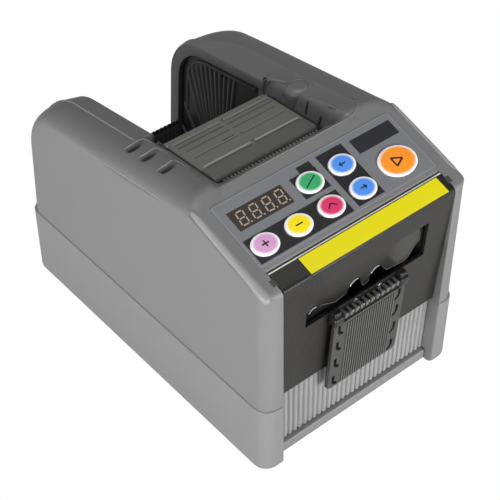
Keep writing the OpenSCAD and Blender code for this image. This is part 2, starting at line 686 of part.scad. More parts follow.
module upper_housing() color([0.58, 0.58, 0.58]) in_place() difference() {
    union() {
        difference() {
            upper_solid(0);
            difference() {
                upper_solid(wall);
                well_space(rim_t);
                valley(wall);
                difference() {
                    recess(flange_t, 0, flange_d, 0, far);
                    recess(0, -1, flange_d + 1, 0, far);
                }
            }
            block([-well_half, well_d, -far], [well_half, upper_rear - wall - 1, far]);
            block([-well_half, well_d, rear_sill_h], [well_half, far, far]);
            valley(0);
            recess(0, -1, on_slope(deck_up, 0)[0], 0, far);
            // openings in the cheeks' inner walls, which the liner stands behind
            intersection() {
                across(-well_half - rim_t - sliver, well_half + rim_t + sliver) polygon(side_outline(rim_w, seam_h - 1));
                block([-far, well_d + rim_w, 0], [far, far, far]);
            }
        }
        for (p = post_places) intersection() {
            translate([p[0], p[1], seam_h]) {
                cylinder(d = post_d, h = screw_reach + 4);
                block([min(0, sign(p[0]) * far), -1, 0], [max(0, sign(p[0]) * far), 1, screw_reach + 4]);
            }
            upper_solid(wall / 2);
        }
        on_panel() for (x = [-board_post_x, board_post_x], up = board_post_ups)
            translate([x, up, board_top]) cylinder(d = board_post_d, h = -board_top - deck / 2);
    }
    for (p = post_places) translate([p[0], p[1], seam_h - 1]) cylinder(d = screw_d + 2 * run_gap, h = screw_reach + 2);
    rod(pin_at, pin_d + 2 * run_gap, -recess_half(pin_at[1]) - flange_t - 1, recess_half(pin_at[1]) + flange_t + 1);
    rod([guide_pin_y, guide_pin_z], guide_pin_d, -well_half - wall, well_half + wall);
    block([-inlet_w / 2, lip_y, 0], [inlet_w / 2, lip_y + inlet_l, far]);
    on_panel() {
        translate([0, overlay_up, -overlay_t]) linear_extrude(far) rounded_rect(overlay_w, overlay_l, overlay_r);
        key_cutouts();
        translate([display_x, display_up, -deck - 1]) linear_extrude(far)
            square([display_w - 2 * display_ledge, display_l - 2 * display_ledge], center = true);
    }
}

module key_cutouts() {
    for (k = keys) translate([k[1], k[2], -deck - sliver]) linear_extrude(deck + 1)
        polygon(oval(key_w + 2 * key_gap, key_l + 2 * key_gap));
    translate([start_x, start_up, -deck - sliver]) linear_extrude(deck + 1)
        polygon(oval(start_w + 2 * key_gap, start_l + 2 * key_gap));
}

module front_panel() color([0.66, 0.66, 0.66]) in_place() intersection() {
    recess(-0.15, 0, far, sill_h, cover_foot_h + panel_lap);
    translate([0, 0, sill_h]) linear_extrude(cover_foot_h + panel_lap - sill_h) difference() {
        y0 = sill_d + panel_step;
        translate([-recess_top_w / 2, y0]) square([recess_top_w, panel_t]);
        n = floor(recess_foot_w / 2 / groove_pitch);
        for (i = [-n:n]) translate([i * groove_pitch, y0 + groove_depth / 2 - 1])
            square([groove_pitch * 0.3, groove_depth + 2], center = true);
    }
}

liner_half = well_half + rim_t + liner_gap;
liner_y0 = well_d + liner_gap;
liner_y1 = upper_rear - wall - liner_gap - (rear_sill_h - seam_h + liner_rise) * tan(rear_lean) - 0.6;

module well_liner() color([0.12, 0.13, 0.13]) in_place() difference() {
    intersection() {
        across(-liner_half - liner_t, liner_half + liner_t) polygon(side_outline(rim_w - 2, liner_floor_h - liner_t));
        block([-far, liner_y0, 0], [far, liner_y1, far]);
    }
    block([-liner_half, liner_y0 + liner_t, liner_floor_h], [liner_half, liner_y1 - liner_t, far]);
    block([-liner_half, liner_y1 - liner_t - 1, rear_sill_h + liner_rise], [liner_half, far, far]);
    block([-liner_half, 0, guide_pin_z - barrel_d / 2 - valley_gap - wall], [liner_half, liner_y0 + liner_t + 1, far]);
    translate([0, well_d + axle_slot_d, axle_slot_h])
        block([-far, -axle_slot_w / 2, 0], [far, axle_slot_w / 2, far]);
    // the cheeks' inner walls come down between the liner's end walls and its side walls
    for (x = [-liner_half, well_half - liner_gap])
        block([x, 0, seam_h - liner_gap], [x + liner_half - well_half + liner_gap, far, far]);
}

module feet() color([0.1, 0.1, 0.1]) in_place() for (x = [-1, 1], y = [foot_inset, body_l - foot_inset])
    translate([x * (body_w / 2 - foot_inset), y, -foot_h]) cylinder(d = foot_d, h = foot_h + foot_pocket);

module housing_screws() color([0.7, 0.7, 0.72]) in_place() for (p = post_places) translate([p[0], p[1], 0.6]) {
    cylinder(d = screw_head_d, h = 2.4);
    cylinder(d = screw_d, h = seam_h + screw_reach - 0.6);
}

module control_overlay() color([0.52, 0.53, 0.54]) in_place() on_panel() difference() {
    translate([0, overlay_up, -overlay_t]) linear_extrude(overlay_t) rounded_rect(overlay_w, overlay_l, overlay_r);
    key_cutouts();
    translate([display_x, display_up, -1]) linear_extrude(2) square([display_w, display_l], center = true);
}

module display_lens() color([0.16, 0.13, 0.11]) in_place() on_panel()
    translate([display_x, display_up, -overlay_t]) linear_extrude(overlay_t)
        square([display_w, display_l], center = true);

module display_module() color([0.25, 0.22, 0.2]) in_place() on_panel()
    translate([display_x, display_up, board_top]) linear_extrude(-board_top - overlay_t - 0.1)
        square([display_w - 2 * display_ledge - 0.6, display_l - 2 * display_ledge - 0.6], center = true);

module key_board() color([0.1, 0.4, 0.2]) in_place() on_panel()
    block([-key_board_w / 2, board_up0, board_low], [key_board_w / 2, board_up1, board_top]);

module key_switches() color([0.15, 0.15, 0.15]) in_place() on_panel()
    for (k = concat(keys, [["start", start_x, start_up]])) translate([k[1], k[2], board_top])
        linear_extrude(switch_h) square(switch_w, center = true);

// One key: the oval cap and the rim under the panel that keeps it in
module key(x, up, w, l) in_place() on_panel() translate([x, up, 0]) {
    translate([0, 0, rim_low]) linear_extrude(key_rise - rim_low) polygon(oval(w, l));
    translate([0, 0, rim_low]) linear_extrude(key_rim_t) polygon(oval(w + 2 * key_rim, l + 2 * key_rim));
}
module small_key(i) key(keys[i][1], keys[i][2], key_w, key_l);
module key_plus() color([0.85, 0.63, 0.81]) small_key(0);
module key_minus() color([1, 0.91, 0]) small_key(1);
module key_red() color([0.88, 0.21, 0.44]) small_key(2);
module key_green() color([0.21, 0.66, 0.4]) small_key(3);
module key_blue_rear() color([0.31, 0.58, 0.96]) small_key(4);
module key_blue_front() color([0.31, 0.58, 0.96]) small_key(5);
module key_start() color([1, 0.61, 0.15]) key(start_x, start_up, start_w, start_l);

module front_cover() color([0.29, 0.29, 0.28]) in_place() difference() {
    union() {
        intersection() {
            across(-far, far) polygon([[cover_y + cover_inset, cover_foot_h], [cover_y, cover_z],
                on_slope(cover_rise, 0), on_slope(cover_rise, -cover_t), cover_corner,
                [cover_y + cover_inset, cover_foot_h] + cover_t * in_normal]);
            recess(-cover_gap, -far, far, 0, bend_h * 1.2);
        }
        for (x = [-1, 1]) {
            edge = recess_half(pin_at[1]) - cover_gap;
            rod(pin_at, pin_boss_d, x > 0 ? edge - pin_boss_l : -edge, x > 0 ? edge : pin_boss_l - edge);
        }
    }
    rod(pin_at, pin_d, -far, far);
    block([-outlet_w / 2, -far, outlet_low_h], [outlet_w / 2, far, outlet_high_h]);
}

module cover_pins() color([0.75, 0.75, 0.77]) in_place() for (x = [-1, 1]) {
    a = recess_half(pin_at[1]) - cover_gap - pin_boss_l;
    b = recess_half(pin_at[1]) + flange_t;
    rod(pin_at, pin_d, x > 0 ? a : -b, x > 0 ? b : -a);
}

module cover_strip() color([0.99, 0.94, 0]) in_place() on_panel()
    block([strip_x - strip_w / 2, strip_up, 0], [strip_x + strip_w / 2, strip_up + strip_l, strip_t]);

// The clear lip behind the top of the outlet, with a row of scallops along its lower edge
module outlet_lip() color([0.8, 0.82, 0.84, 0.5]) in_place() on_cover() {
    top = -(cover_z - outlet_high_h) / cos(cover_lean) + lip_lap;
    difference() {
        block([-outlet_w / 2 - lip_lap, cover_t, top - lip_h], [outlet_w / 2 + lip_lap, cover_t + lip_t, top]);
        for (i = [-1:1]) translate([i * (outlet_w / 3), 0, top - lip_h - scallop_r * 0.5])
            rotate([-90, 0, 0]) cylinder(r = scallop_r, h = far);
    }
}

module tray_bracket() color([0.11, 0.11, 0.12]) in_place() on_cover() difference() {
    union() {
        block([-tray_w / 2, -bracket_t, -tray_drop - knuckle_d / 2], [tray_w / 2, 0, -tray_drop + bracket_reach]);
        for (x = [-tray_w / 2, tray_w / 2 - knuckle_l]) {
            rod([-hinge_out, -tray_drop], knuckle_d, x, x + knuckle_l);
            block([x, -hinge_out, -tray_drop - knuckle_d / 4], [x + knuckle_l, 0, -tray_drop + knuckle_d / 4]);
        }
    }
    rod([-hinge_out, -tray_drop], tray_pin_d, -far, far);
}

module tray_screws() color([0.85, 0.85, 0.87]) in_place() on_cover() for (x = [-1, 1])
    translate([x * tray_screw_pitch / 2, -bracket_t, -tray_drop + bracket_reach - tray_screw_d / 2 - 0.2])
        rotate([90, 0, 0]) cylinder(d = tray_screw_d, h = tray_screw_h);

module tray_pin() color([0.75, 0.75, 0.77]) in_place() on_cover()
    rod([-hinge_out, -tray_drop], tray_pin_d, -tray_w / 2, tray_w / 2);

module tape_tray() color([0.1, 0.1, 0.11]) in_place() on_cover() difference() {
    half = tray_w / 2 - knuckle_l - 0.3;
    union() {
        rod([-hinge_out, -tray_drop], knuckle_d, -half, half);
        block([-half, -hinge_out - tray_t / 2, -tray_drop - knuckle_d], [half, -hinge_out + tray_t / 2, -tray_drop]);
        block([-tray_w / 2, -hinge_out - tray_t / 2, -tray_drop - tray_l],
            [tray_w / 2, -hinge_out + tray_t / 2, -tray_drop - knuckle_d]);
        for (i = [0:tray_rib_n - 1]) translate([(i - (tray_rib_n - 1) / 2) * tray_w / tray_rib_n, 0, 0])
            block([-0.8, -hinge_out - tray_t / 2 - tray_rib_h, -tray_drop - tray_l],
                [0.8, -hinge_out, -tray_drop - knuckle_d]);
    }
    rod([-hinge_out, -tray_drop], tray_pin_d + 2 * run_gap, -far, far);
}

module tape_guide() color([0.44, 0.44, 0.43]) in_place() difference() {
    rear = guide_pin_y - barrel_d / 2 - 1;
    union() {
        across(-guide_half, guide_half) polygon([[guide_d, guide_front_h], [rear, guide_z(rear)],
            [guide_pin_y, guide_rear_h], [guide_pin_y, guide_pin_z], [rear, guide_z(rear) - guide_t],
            [guide_d, guide_front_h - guide_t]]);
        rod([guide_pin_y, guide_pin_z], barrel_d, -guide_half, guide_half);
        for (f = guide_rib_rows, x = [-1, 1]) translate([0, guide_d + f * guide_l, guide_z(guide_d + f * guide_l)])
            block([x > 0 ? 1 : 5 - guide_half, 0, -1], [x > 0 ? guide_half - 5 : -1, guide_rib_w, guide_rib_h]);
    }
    rod([guide_pin_y, guide_pin_z], guide_pin_d + 2 * run_gap, -far, far);
}

module guide_pin() color([0.78, 0.78, 0.8]) in_place()
    rod([guide_pin_y, guide_pin_z], guide_pin_d, -well_half - wall, well_half + wall);

// One frame plate, from x0 to x0 + frame_t, with its shaft holes and the slot for the carrier bar
module frame_plate(x0) difference() {
    y1 = frame_d + frame_l;
    across(x0, x0 + frame_t) polygon([[flange_d + 0.5, frame_floor], [flange_d + 0.5, cover_foot_h + panel_lap + 1],
        [frame_d, cover_foot_h + panel_lap + 3], [frame_d, bar_h + bar_l + 2.4], [frame_d + 8, bar_h + bar_l + 2.4],
        [press_at[0] + press_bush_d, under_panel(press_at[0], -board_low) - 1.2], [y1 - 10, nip_h], [y1, nip_h - 12],
        [y1, frame_floor]]);
    rod(feed_at, feed_bush_d, x0 - 1, x0 + frame_t + 1);
    rod(press_at, press_bush_d, x0 - 1, x0 + frame_t + 1);
    block([x0 - 1, bar_d - slide_gap, bar_h - stroke - slot_end],
        [x0 + frame_t + 1, bar_d + bar_t + slide_gap, bar_h + bar_l + slot_end]);
}
module left_frame() color([0.72, 0.74, 0.76]) in_place() difference() {
    frame_plate(-plate_x);
    rod(crank_at, motor_shaft_d + 2, -plate_x - 1, -frame_half + 1);
}
module right_frame() color([0.72, 0.74, 0.76]) in_place() difference() {
    frame_plate(frame_half);
    rod(motor_at, motor_shaft_d + 2, frame_half - 1, plate_x + 1);
    rod(idler_at, idler_pin_d, frame_half - 1, plate_x + 1);
}
module tie_bars() color([0.7, 0.7, 0.72]) in_place() for (p = tie_places) rod(p, tie_d, -frame_half, frame_half);

// A flanged bush in each plate for each shaft
module bush(at, shaft, outer, side) difference() {
    union() {
        rod(at, outer, side > 0 ? frame_half : -plate_x, side > 0 ? plate_x : -frame_half);
        rod(at, outer + 2 * bush_flange, side > 0 ? frame_half - bush_rim_t : -frame_half,
            side > 0 ? frame_half : bush_rim_t - frame_half);
    }
    rod(at, shaft + 2 * run_gap, -far, far);
}
module shaft_bushes() color([0.72, 0.55, 0.3]) in_place() for (side = [-1, 1]) {
    bush(feed_at, feed_shaft_d, feed_bush_d, side);
    bush(press_at, press_shaft_d, press_bush_d, side);
}

module feed_shaft() color([0.75, 0.75, 0.77]) in_place() rod(feed_at, feed_shaft_d, -plate_x - shaft_end, wheel_x + gear_t + shaft_end);
module feed_roller() color([0.85, 0.85, 0.83]) in_place() difference() {
    rod(feed_at, feed_d, -roller_l / 2, roller_l / 2);
    rod(feed_at, feed_shaft_d, -far, far);
}
module press_shaft() color([0.75, 0.75, 0.77]) in_place() rod(press_at, press_shaft_d, -plate_x - 1, plate_x + 0.5);
module press_roller() color([0.2, 0.2, 0.2]) in_place() difference() {
    rod(press_at, press_d, -roller_l / 2, roller_l / 2);
    rod(press_at, press_shaft_d, -far, far);
}

// A gear beside the right plate, with a bore of its own
module gear(n, at, turn, bore) difference() {
    translate([wheel_x, at[0], at[1]]) rotate([90, 0, 90]) rotate([0, 0, turn])
        linear_extrude(gear_t) polygon(gear_points(n));
    if (bore > 0) rod(at, bore, -far, far);
}
module feed_gear() color([0.9, 0.9, 0.86]) in_place() gear(feed_teeth, feed_at, feed_turn, feed_shaft_d);
module idler_gear() color([0.9, 0.9, 0.86]) in_place() gear(idler_teeth, idler_at, idler_turn, idler_pin_d + 2 * run_gap);
module idler_pin() color([0.75, 0.75, 0.77]) in_place() {
    rod(idler_at, idler_pin_d, frame_half, wheel_x + gear_t + 1.4);
    rod(idler_at, idler_pin_d + 2.4, plate_x, wheel_x - 0.2);
    rod(idler_at, idler_pin_d + 2.4, wheel_x + gear_t + 0.2, wheel_x + gear_t + 1.4);
}
module motor_pinion() color([0.72, 0.6, 0.32]) in_place() {
    gear(pinion_teeth, motor_at, pinion_turn, 0);
    rod(motor_at, motor_shaft_d, frame_half - motor_shaft_in, wheel_x + gear_t + shaft_end);
}
module feed_motor() color([0.6, 0.62, 0.64]) in_place() difference() {
    rod(motor_at, feed_motor_d, frame_half - feed_motor_l, frame_half);
    rod(motor_at, motor_shaft_d + 2 * run_gap, frame_half - motor_shaft_in - 1, far);
}

module cutter_motor() color([0.6, 0.62, 0.64]) in_place() difference() {
    rod(crank_at, cutter_motor_d, -frame_half, cutter_motor_l - frame_half);
    rod(crank_at, motor_shaft_d + 2 * run_gap, -far, motor_shaft_in + 1 - frame_half);
}
module crank_disc() color([0.7, 0.7, 0.72]) in_place() {
    rod(crank_at, crank_disc_d, -wheel_x - crank_t, -wheel_x);
    rod(crank_at, motor_shaft_d, -wheel_x, motor_shaft_in - frame_half);
    rod([crank_d, crank_pin_z], crank_pin_d, -arm_x - arm_t, -wheel_x - crank_t);
}

// The bar that slides in the frame's slots, with a side arm and yoke round the crank pin
module blade_carrier() color([0.55, 0.57, 0.6]) in_place() difference() {
    union() {
        block([-arm_x - arm_t, bar_d, bar_h], [plate_x + 1, bar_d + bar_t, bar_h + bar_l]);
        block([-arm_x - arm_t, bar_d, yoke_low], [-arm_x, bar_d + bar_t + 3, bar_h + bar_l]);
        block([-arm_x - arm_t, bar_d, yoke_low],
            [-arm_x, yoke_rear, crank_pin_z + crank_pin_d / 2 + crank_slack + yoke_wall]);
    }
    block([-far, crank_d - crank_pin_d / 2 - 1, crank_pin_z - crank_pin_d / 2 - crank_slack],
        [0, yoke_rear - yoke_wall, crank_pin_z + crank_pin_d / 2 + crank_slack]);
    blade_screw_places() rotate([-90, 0, 0]) cylinder(d = blade_screw_d / 2 + 2 * run_gap, h = far);
}
module blade_screw_places() for (x = [-1:1]) translate([x * blade_screw_pitch, bar_d - 1, bar_h + bar_l / 2]) children();
module moving_blade() color([0.82, 0.83, 0.85]) in_place() difference() {
    block([-blade_w / 2, blade_d, moving_edge_h], [blade_w / 2, blade_d + blade_t, bar_h + bar_l]);
    blade_screw_places() rotate([-90, 0, 0]) cylinder(d = blade_screw_d / 2 + 2 * run_gap, h = far);
}
module blade_screws() color([0.8, 0.8, 0.82]) in_place() blade_screw_places() rotate([-90, 0, 0]) {
    translate([0, 0, 1 - blade_screw_h]) cylinder(d = blade_screw_d, h = blade_screw_h);
    translate([0, 0, 1]) cylinder(d = blade_screw_d / 2, h = bar_t + blade_t);
}
module fixed_blade() color([0.82, 0.83, 0.85]) in_place()
    block([-blade_w / 2, fixed_d, fixed_edge_h - fixed_blade_l], [blade_w / 2, bed_d, fixed_edge_h]);
module blade_bed() color([0.35, 0.36, 0.38]) in_place()
    block([-frame_half, bed_d, bed_top - bed_l], [frame_half, bed_d + bed_t, bed_top]);
module tape_sensor() color([0.1, 0.1, 0.12]) in_place()
    block([roller_l / 2 - sensor_w, bed_d, bed_top], [roller_l / 2, bed_d + bed_t, bed_top + sensor_h]);

// The main board with its larger parts standing on it
module main_board() color([0.1, 0.4, 0.2]) in_place() translate([0, main_board_d, wall + main_board_up]) {
    translate([-main_board_w / 2, 0, 0]) cube([main_board_w, main_board_l, board_t]);
    for (x = [-0.28, -0.12]) translate([x * main_board_w, main_board_l / 2, board_t])
        cylinder(d = capacitor_d, h = capacitor_h);
    translate([0.09 * main_board_w, main_board_l / 2 - chip_w / 2, board_t]) cube([chip_w, chip_w, chip_t]);
    translate([0.34 * main_board_w, main_board_l / 2 - plug_l / 2, board_t]) cube([plug_w, plug_l, plug_h]);
}
module power_inlet() color([0.1, 0.1, 0.1]) in_place() translate([inlet_x, 0, bay_mid_h]) difference() {
    union() {
        block([-jack_w / 2, bay_floor - wall - jack_l, -jack_w / 2], [jack_w / 2, bay_floor - wall, jack_w / 2]);
        translate([0, bay_floor - wall - 1, 0]) rotate([-90, 0, 0]) cylinder(d = jack_d, h = wall + 1);
    }
    translate([0, bay_floor - wall - 8, 0]) rotate([-90, 0, 0]) difference() {
        cylinder(d = jack_d - 2, h = far);
        cylinder(d = jack_pin_d, h = wall + 6);
    }
}
module switch_frame() color([0.1, 0.1, 0.1]) in_place() translate([-inlet_x, 0, bay_mid_h]) difference() {
    union() {
        block([-switch_frame_w / 2, bay_floor, -switch_frame_h / 2],
            [switch_frame_w / 2, bay_floor + 1, switch_frame_h / 2]);
        block([1 - switch_frame_w / 2, bay_floor - switch_frame_l, 1 - switch_frame_h / 2],
            [switch_frame_w / 2 - 1, bay_floor, switch_frame_h / 2 - 1]);
    }
    block([-rocker_hole_w / 2, bay_floor - switch_frame_l + 2, -rocker_hole_h / 2],
        [rocker_hole_w / 2, far, rocker_hole_h / 2]);
    rod([bay_floor - rocker_sink, 0], 2 + 2 * run_gap, -rocker_hole_w / 2 - 1, rocker_hole_w / 2 + 1);
}
// The rocker turns about a level pin across its frame
module power_rocker() color([0.75, 0.1, 0.1]) in_place() translate([-inlet_x, bay_floor - rocker_sink, bay_mid_h]) {
    half = rocker_hole_h / 2 - rocker_gap;
    intersection() {
        rod([0, 0], 2 * sqrt(half * half + 9), rocker_gap - rocker_hole_w / 2, rocker_hole_w / 2 - rocker_gap);
        block([-far, -4, -half + 1], [far, 5 + rocker_proud, half - 1]);
    }
    rod([0, 0], 2, -rocker_hole_w / 2 - 0.9, rocker_hole_w / 2 + 0.9);
}

base_tray();
upper_housing();
front_panel();
well_liner();
feet();
housing_screws();
control_overlay();
display_lens();
display_module();
key_board();
key_switches();
key_plus();
key_minus();
key_red();
key_green();
key_blue_rear();
key_blue_front();
key_start();
front_cover();
cover_pins();
cover_strip();
outlet_lip();
tray_bracket();
tray_screws();
tray_pin();
tape_tray();
tape_guide();
guide_pin();
left_frame();
right_frame();
tie_bars();
shaft_bushes();
feed_shaft();
feed_roller();
feed_gear();
press_shaft();
press_roller();
idler_pin();
idler_gear();
feed_motor();
motor_pinion();
cutter_motor();
crank_disc();
blade_carrier();
moving_blade();
blade_screws();
fixed_blade();
blade_bed();
tape_sensor();
main_board();
power_inlet();
switch_frame();
power_rocker();
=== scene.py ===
"""Electric tape dispenser: its visible form, looks, light and camera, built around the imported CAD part.

Lengths are millimetres in the part's own frame: x runs to the right, y back from the front of the base
and z up from its underside. to_row() turns them into the row's metres.
"""

import math

import bmesh
import bpy
from mathutils import Matrix, Vector
from mathutils.geometry import delaunay_2d_cdt


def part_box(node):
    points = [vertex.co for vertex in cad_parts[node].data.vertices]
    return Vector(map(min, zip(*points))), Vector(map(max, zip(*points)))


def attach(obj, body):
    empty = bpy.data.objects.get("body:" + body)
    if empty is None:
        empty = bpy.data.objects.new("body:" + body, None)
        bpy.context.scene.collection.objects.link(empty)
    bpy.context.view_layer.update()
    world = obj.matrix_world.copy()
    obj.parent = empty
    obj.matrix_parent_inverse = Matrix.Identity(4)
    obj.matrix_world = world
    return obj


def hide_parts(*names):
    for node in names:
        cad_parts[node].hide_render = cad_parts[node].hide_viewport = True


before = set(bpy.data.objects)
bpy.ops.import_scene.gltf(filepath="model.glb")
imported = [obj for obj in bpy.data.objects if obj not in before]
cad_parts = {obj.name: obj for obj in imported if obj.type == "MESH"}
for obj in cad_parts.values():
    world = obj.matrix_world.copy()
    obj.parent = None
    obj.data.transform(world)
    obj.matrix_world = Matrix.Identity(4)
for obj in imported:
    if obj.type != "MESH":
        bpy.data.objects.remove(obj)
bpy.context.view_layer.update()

LEFT, RIGHT = -1, 1
SIDES = (LEFT, RIGHT)
ALONG_X = (1.0, 0.0, 0.0)
ALONG_Y = (0.0, 1.0, 0.0)
ALONG_Z = (0.0, 0.0, 1.0)

# Main sizes: the CAD part's own, but for the corner radius, the crest and the overlay's width and corners

BODY_W = 131.5
BODY_L = 203.0
CORNER_R = 8.0
SEAM_H = 44.0
SEAM_STEP = 0.75
UPPER_HALF = BODY_W / 2 - SEAM_STEP
BEND_H = 121.0
PANEL_TILT = math.radians(17.3)
RIDGE_D = 61.5
CHEEK_TILT = math.radians(8.4)
CHEEK_R = 33.0
REAR_LEAN = math.radians(4.0)
CREST_X = 47.6
RECESS_FOOT_HALF = 52.25
RECESS_TOP_HALF = 55.0
COLUMN_TOP = BEND_H + 4
FLANGE_D = 11.0
SILL_D = 5.3
SILL_H = 6.7
COVER_FOOT_H = 45.5
COVER_INSET = 4.6
COVER_T = 2.0
COVER_RISE = 12.5
COVER_GAP = 0.35
DECK_UP = 14.1
OVERLAY_W = 112.0
OVERLAY_L = 38.0
OVERLAY_UP = 16.0
OVERLAY_R = 1.6
OVERLAY_T = 0.8
WELL_HALF = 34.0
WELL_D = 120.0
RIM_T = 2.0
RIM_W = 8.0
GUIDE_D = 78.0
GUIDE_FRONT_H = 126.0
GUIDE_REAR_H = 122.6
GUIDE_T = 3.0
GUIDE_HALF = 33.0
LIP_D = 72.0
INLET_L = 5.6

PANEL_UP = (0.0, math.cos(PANEL_TILT), math.sin(PANEL_TILT))
PANEL_OUT = (0.0, -math.sin(PANEL_TILT), math.cos(PANEL_TILT))

base_low, base_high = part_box("base_tray")
MID_D = BODY_L - base_high.y * 1000
FOOT_H = base_low.z * 1000


def to_row(point):
    """The row's metres from millimetres in the part's frame."""
    x, y, z = point
    return (x / 1000, (y - MID_D) / 1000, (z + FOOT_H) / 1000)


def plain(x, y, z):
    return (x, y, z)


def on_panel(x, up, out):
    """A point on the control panel: up its slope from the bend, and out of it."""
    return (x, up * PANEL_UP[1] + out * PANEL_OUT[1], BEND_H + up * PANEL_UP[2] + out * PANEL_OUT[2])


def panel_z(y):
    """Height of the control panel's plane at a depth."""
    return BEND_H + y * math.tan(PANEL_TILT)


COVER_Z = panel_z(SEAM_STEP)
COVER_LEAN = math.atan(COVER_INSET / (COVER_Z - COVER_FOOT_H))


def in_cover(x, up, inward):
    """A point on the cover's front: up along it from the bend, and into the cover."""
    return (x, SEAM_STEP + inward * math.cos(COVER_LEAN) - up * math.sin(COVER_LEAN),
            COVER_Z + inward * math.sin(COVER_LEAN) + up * math.cos(COVER_LEAN))


def cover_up(height):
    """How far up the cover's front a height lies, from the bend."""
    return -(COVER_Z - height) / math.cos(COVER_LEAN)


def recess_half(z):
    """Half the width between the columns at a height."""
    return RECESS_FOOT_HALF + (RECESS_TOP_HALF - RECESS_FOOT_HALF) * z / BEND_H


def mix(a, b, share):
    return a + (b - a) * share


def guide_z(y):
    """Height of the tape guide's top."""
    return mix(GUIDE_FRONT_H, GUIDE_REAR_H, (y - GUIDE_D) / (WELL_D - GUIDE_D))


def ease(value, low, high):
    """0 below low, 1 above high, and smooth between."""
    share = min(1, max(0, (value - low) / (high - low)))
    return share * share * (3 - 2 * share)


def soft_max(a, b, reach):
    """The larger of two heights, with their crossing rounded over the reach."""
    share = max(0, reach - abs(a - b)) / reach
    return max(a, b) + share * share * reach / 4


def soft_min(a, b, reach):
    return -soft_max(-a, -b, reach)


# Outlines

def quarter(steps):
    """Angles through a quarter turn, from 0."""
    return [math.pi / 2 * k / steps for k in range(steps + 1)]


def circle_points(cx, cy, rx, ry, count):
    angles = [math.tau * i / count for i in range(count)]
    return [(cx + rx * math.cos(a), cy + ry * math.sin(a)) for a in angles]


def arc_points(cx, cy, radius, first, last, steps):
    """Points on an arc between two angles in degrees."""
    angles = [math.radians(mix(first, last, k / steps)) for k in range(steps + 1)]
    return [(cx + radius * math.cos(a), cy + radius * math.sin(a)) for a in angles]


def rounded_rect(x0, y0, x1, y1, radius, steps=6):
    """Points of a rectangle with round corners, anticlockwise from the lower right."""
    low, high, left, right = y0 + radius, y1 - radius, x0 + radius, x1 - radius
    corners = ((right, low, -90), (right, high, 0), (left, high, 90), (left, low, 180))
    return [point for cx, cy, start in corners
            for point in arc_points(cx, cy, radius, start, start + 90, steps)]


def filleted(corners, radii, straights, arcs):
    """An open path through corners, each inner one rounded; straights and arcs are its numbers of steps."""
    pieces = []
    start = Vector(corners[0])
    for i, radius in enumerate(radii, start=1):
        corner = Vector(corners[i])
        back = (Vector(corners[i - 1]) - corner).normalized()
        ahead = (Vector(corners[i + 1]) - corner).normalized()
        half = back.angle(ahead) / 2
        enter = corner + back * radius / math.tan(half)
        leave = corner + ahead * radius / math.tan(half)
        centre = corner + (back + ahead).normalized() * radius / math.sin(half)
        pieces += [start.lerp(enter, k / straights[i - 1]) for k in range(straights[i - 1])]
        first = enter - centre
        turn = first.angle_signed(leave - centre)
        pieces += [centre + Matrix.Rotation(-turn * k / arcs[i - 1], 2) @ first for k in range(arcs[i - 1])]
        start = leave
    pieces += [start.lerp(Vector(corners[-1]), k / straights[-1]) for k in range(straights[-1] + 1)]
    return [tuple(point) for point in pieces]


def inset(loop, depth):
    """A closed outline moved to its left by a depth, corner by corner."""
    moved = []
    for i, point in enumerate(loop):
        here = Vector(point)
        before = (here - Vector(loop[i - 1])).normalized()
        after = (Vector(loop[(i + 1) % len(loop)]) - here).normalized()
        normal = Vector((-before.y - after.y, before.x + after.x))
        stretch = max(0.3, normal.length_squared / 2)
        moved.append(tuple(here + normal * depth / stretch))
    return moved


def turned_left(loop):
    """The outline, anticlockwise."""
    area = sum(loop[i - 1][0] * loop[i][1] - loop[i][0] * loop[i - 1][1] for i in range(len(loop)))
    return list(loop) if area > 0 else list(reversed(loop))


def covered(loops, spot):
    """True where a spot lies inside an odd number of outlines."""
    count = 0
    for loop in loops:
        for i, (x1, y1) in enumerate(loop):
            x0, y0 = loop[i - 1]
            if (y0 > spot.y) != (y1 > spot.y) and spot.x < x0 + (x1 - x0) * (spot.y - y0) / (y1 - y0):
                count += 1
    return count % 2 == 1


LEAST_ROUND = 1e-4
SHARP = 38.0


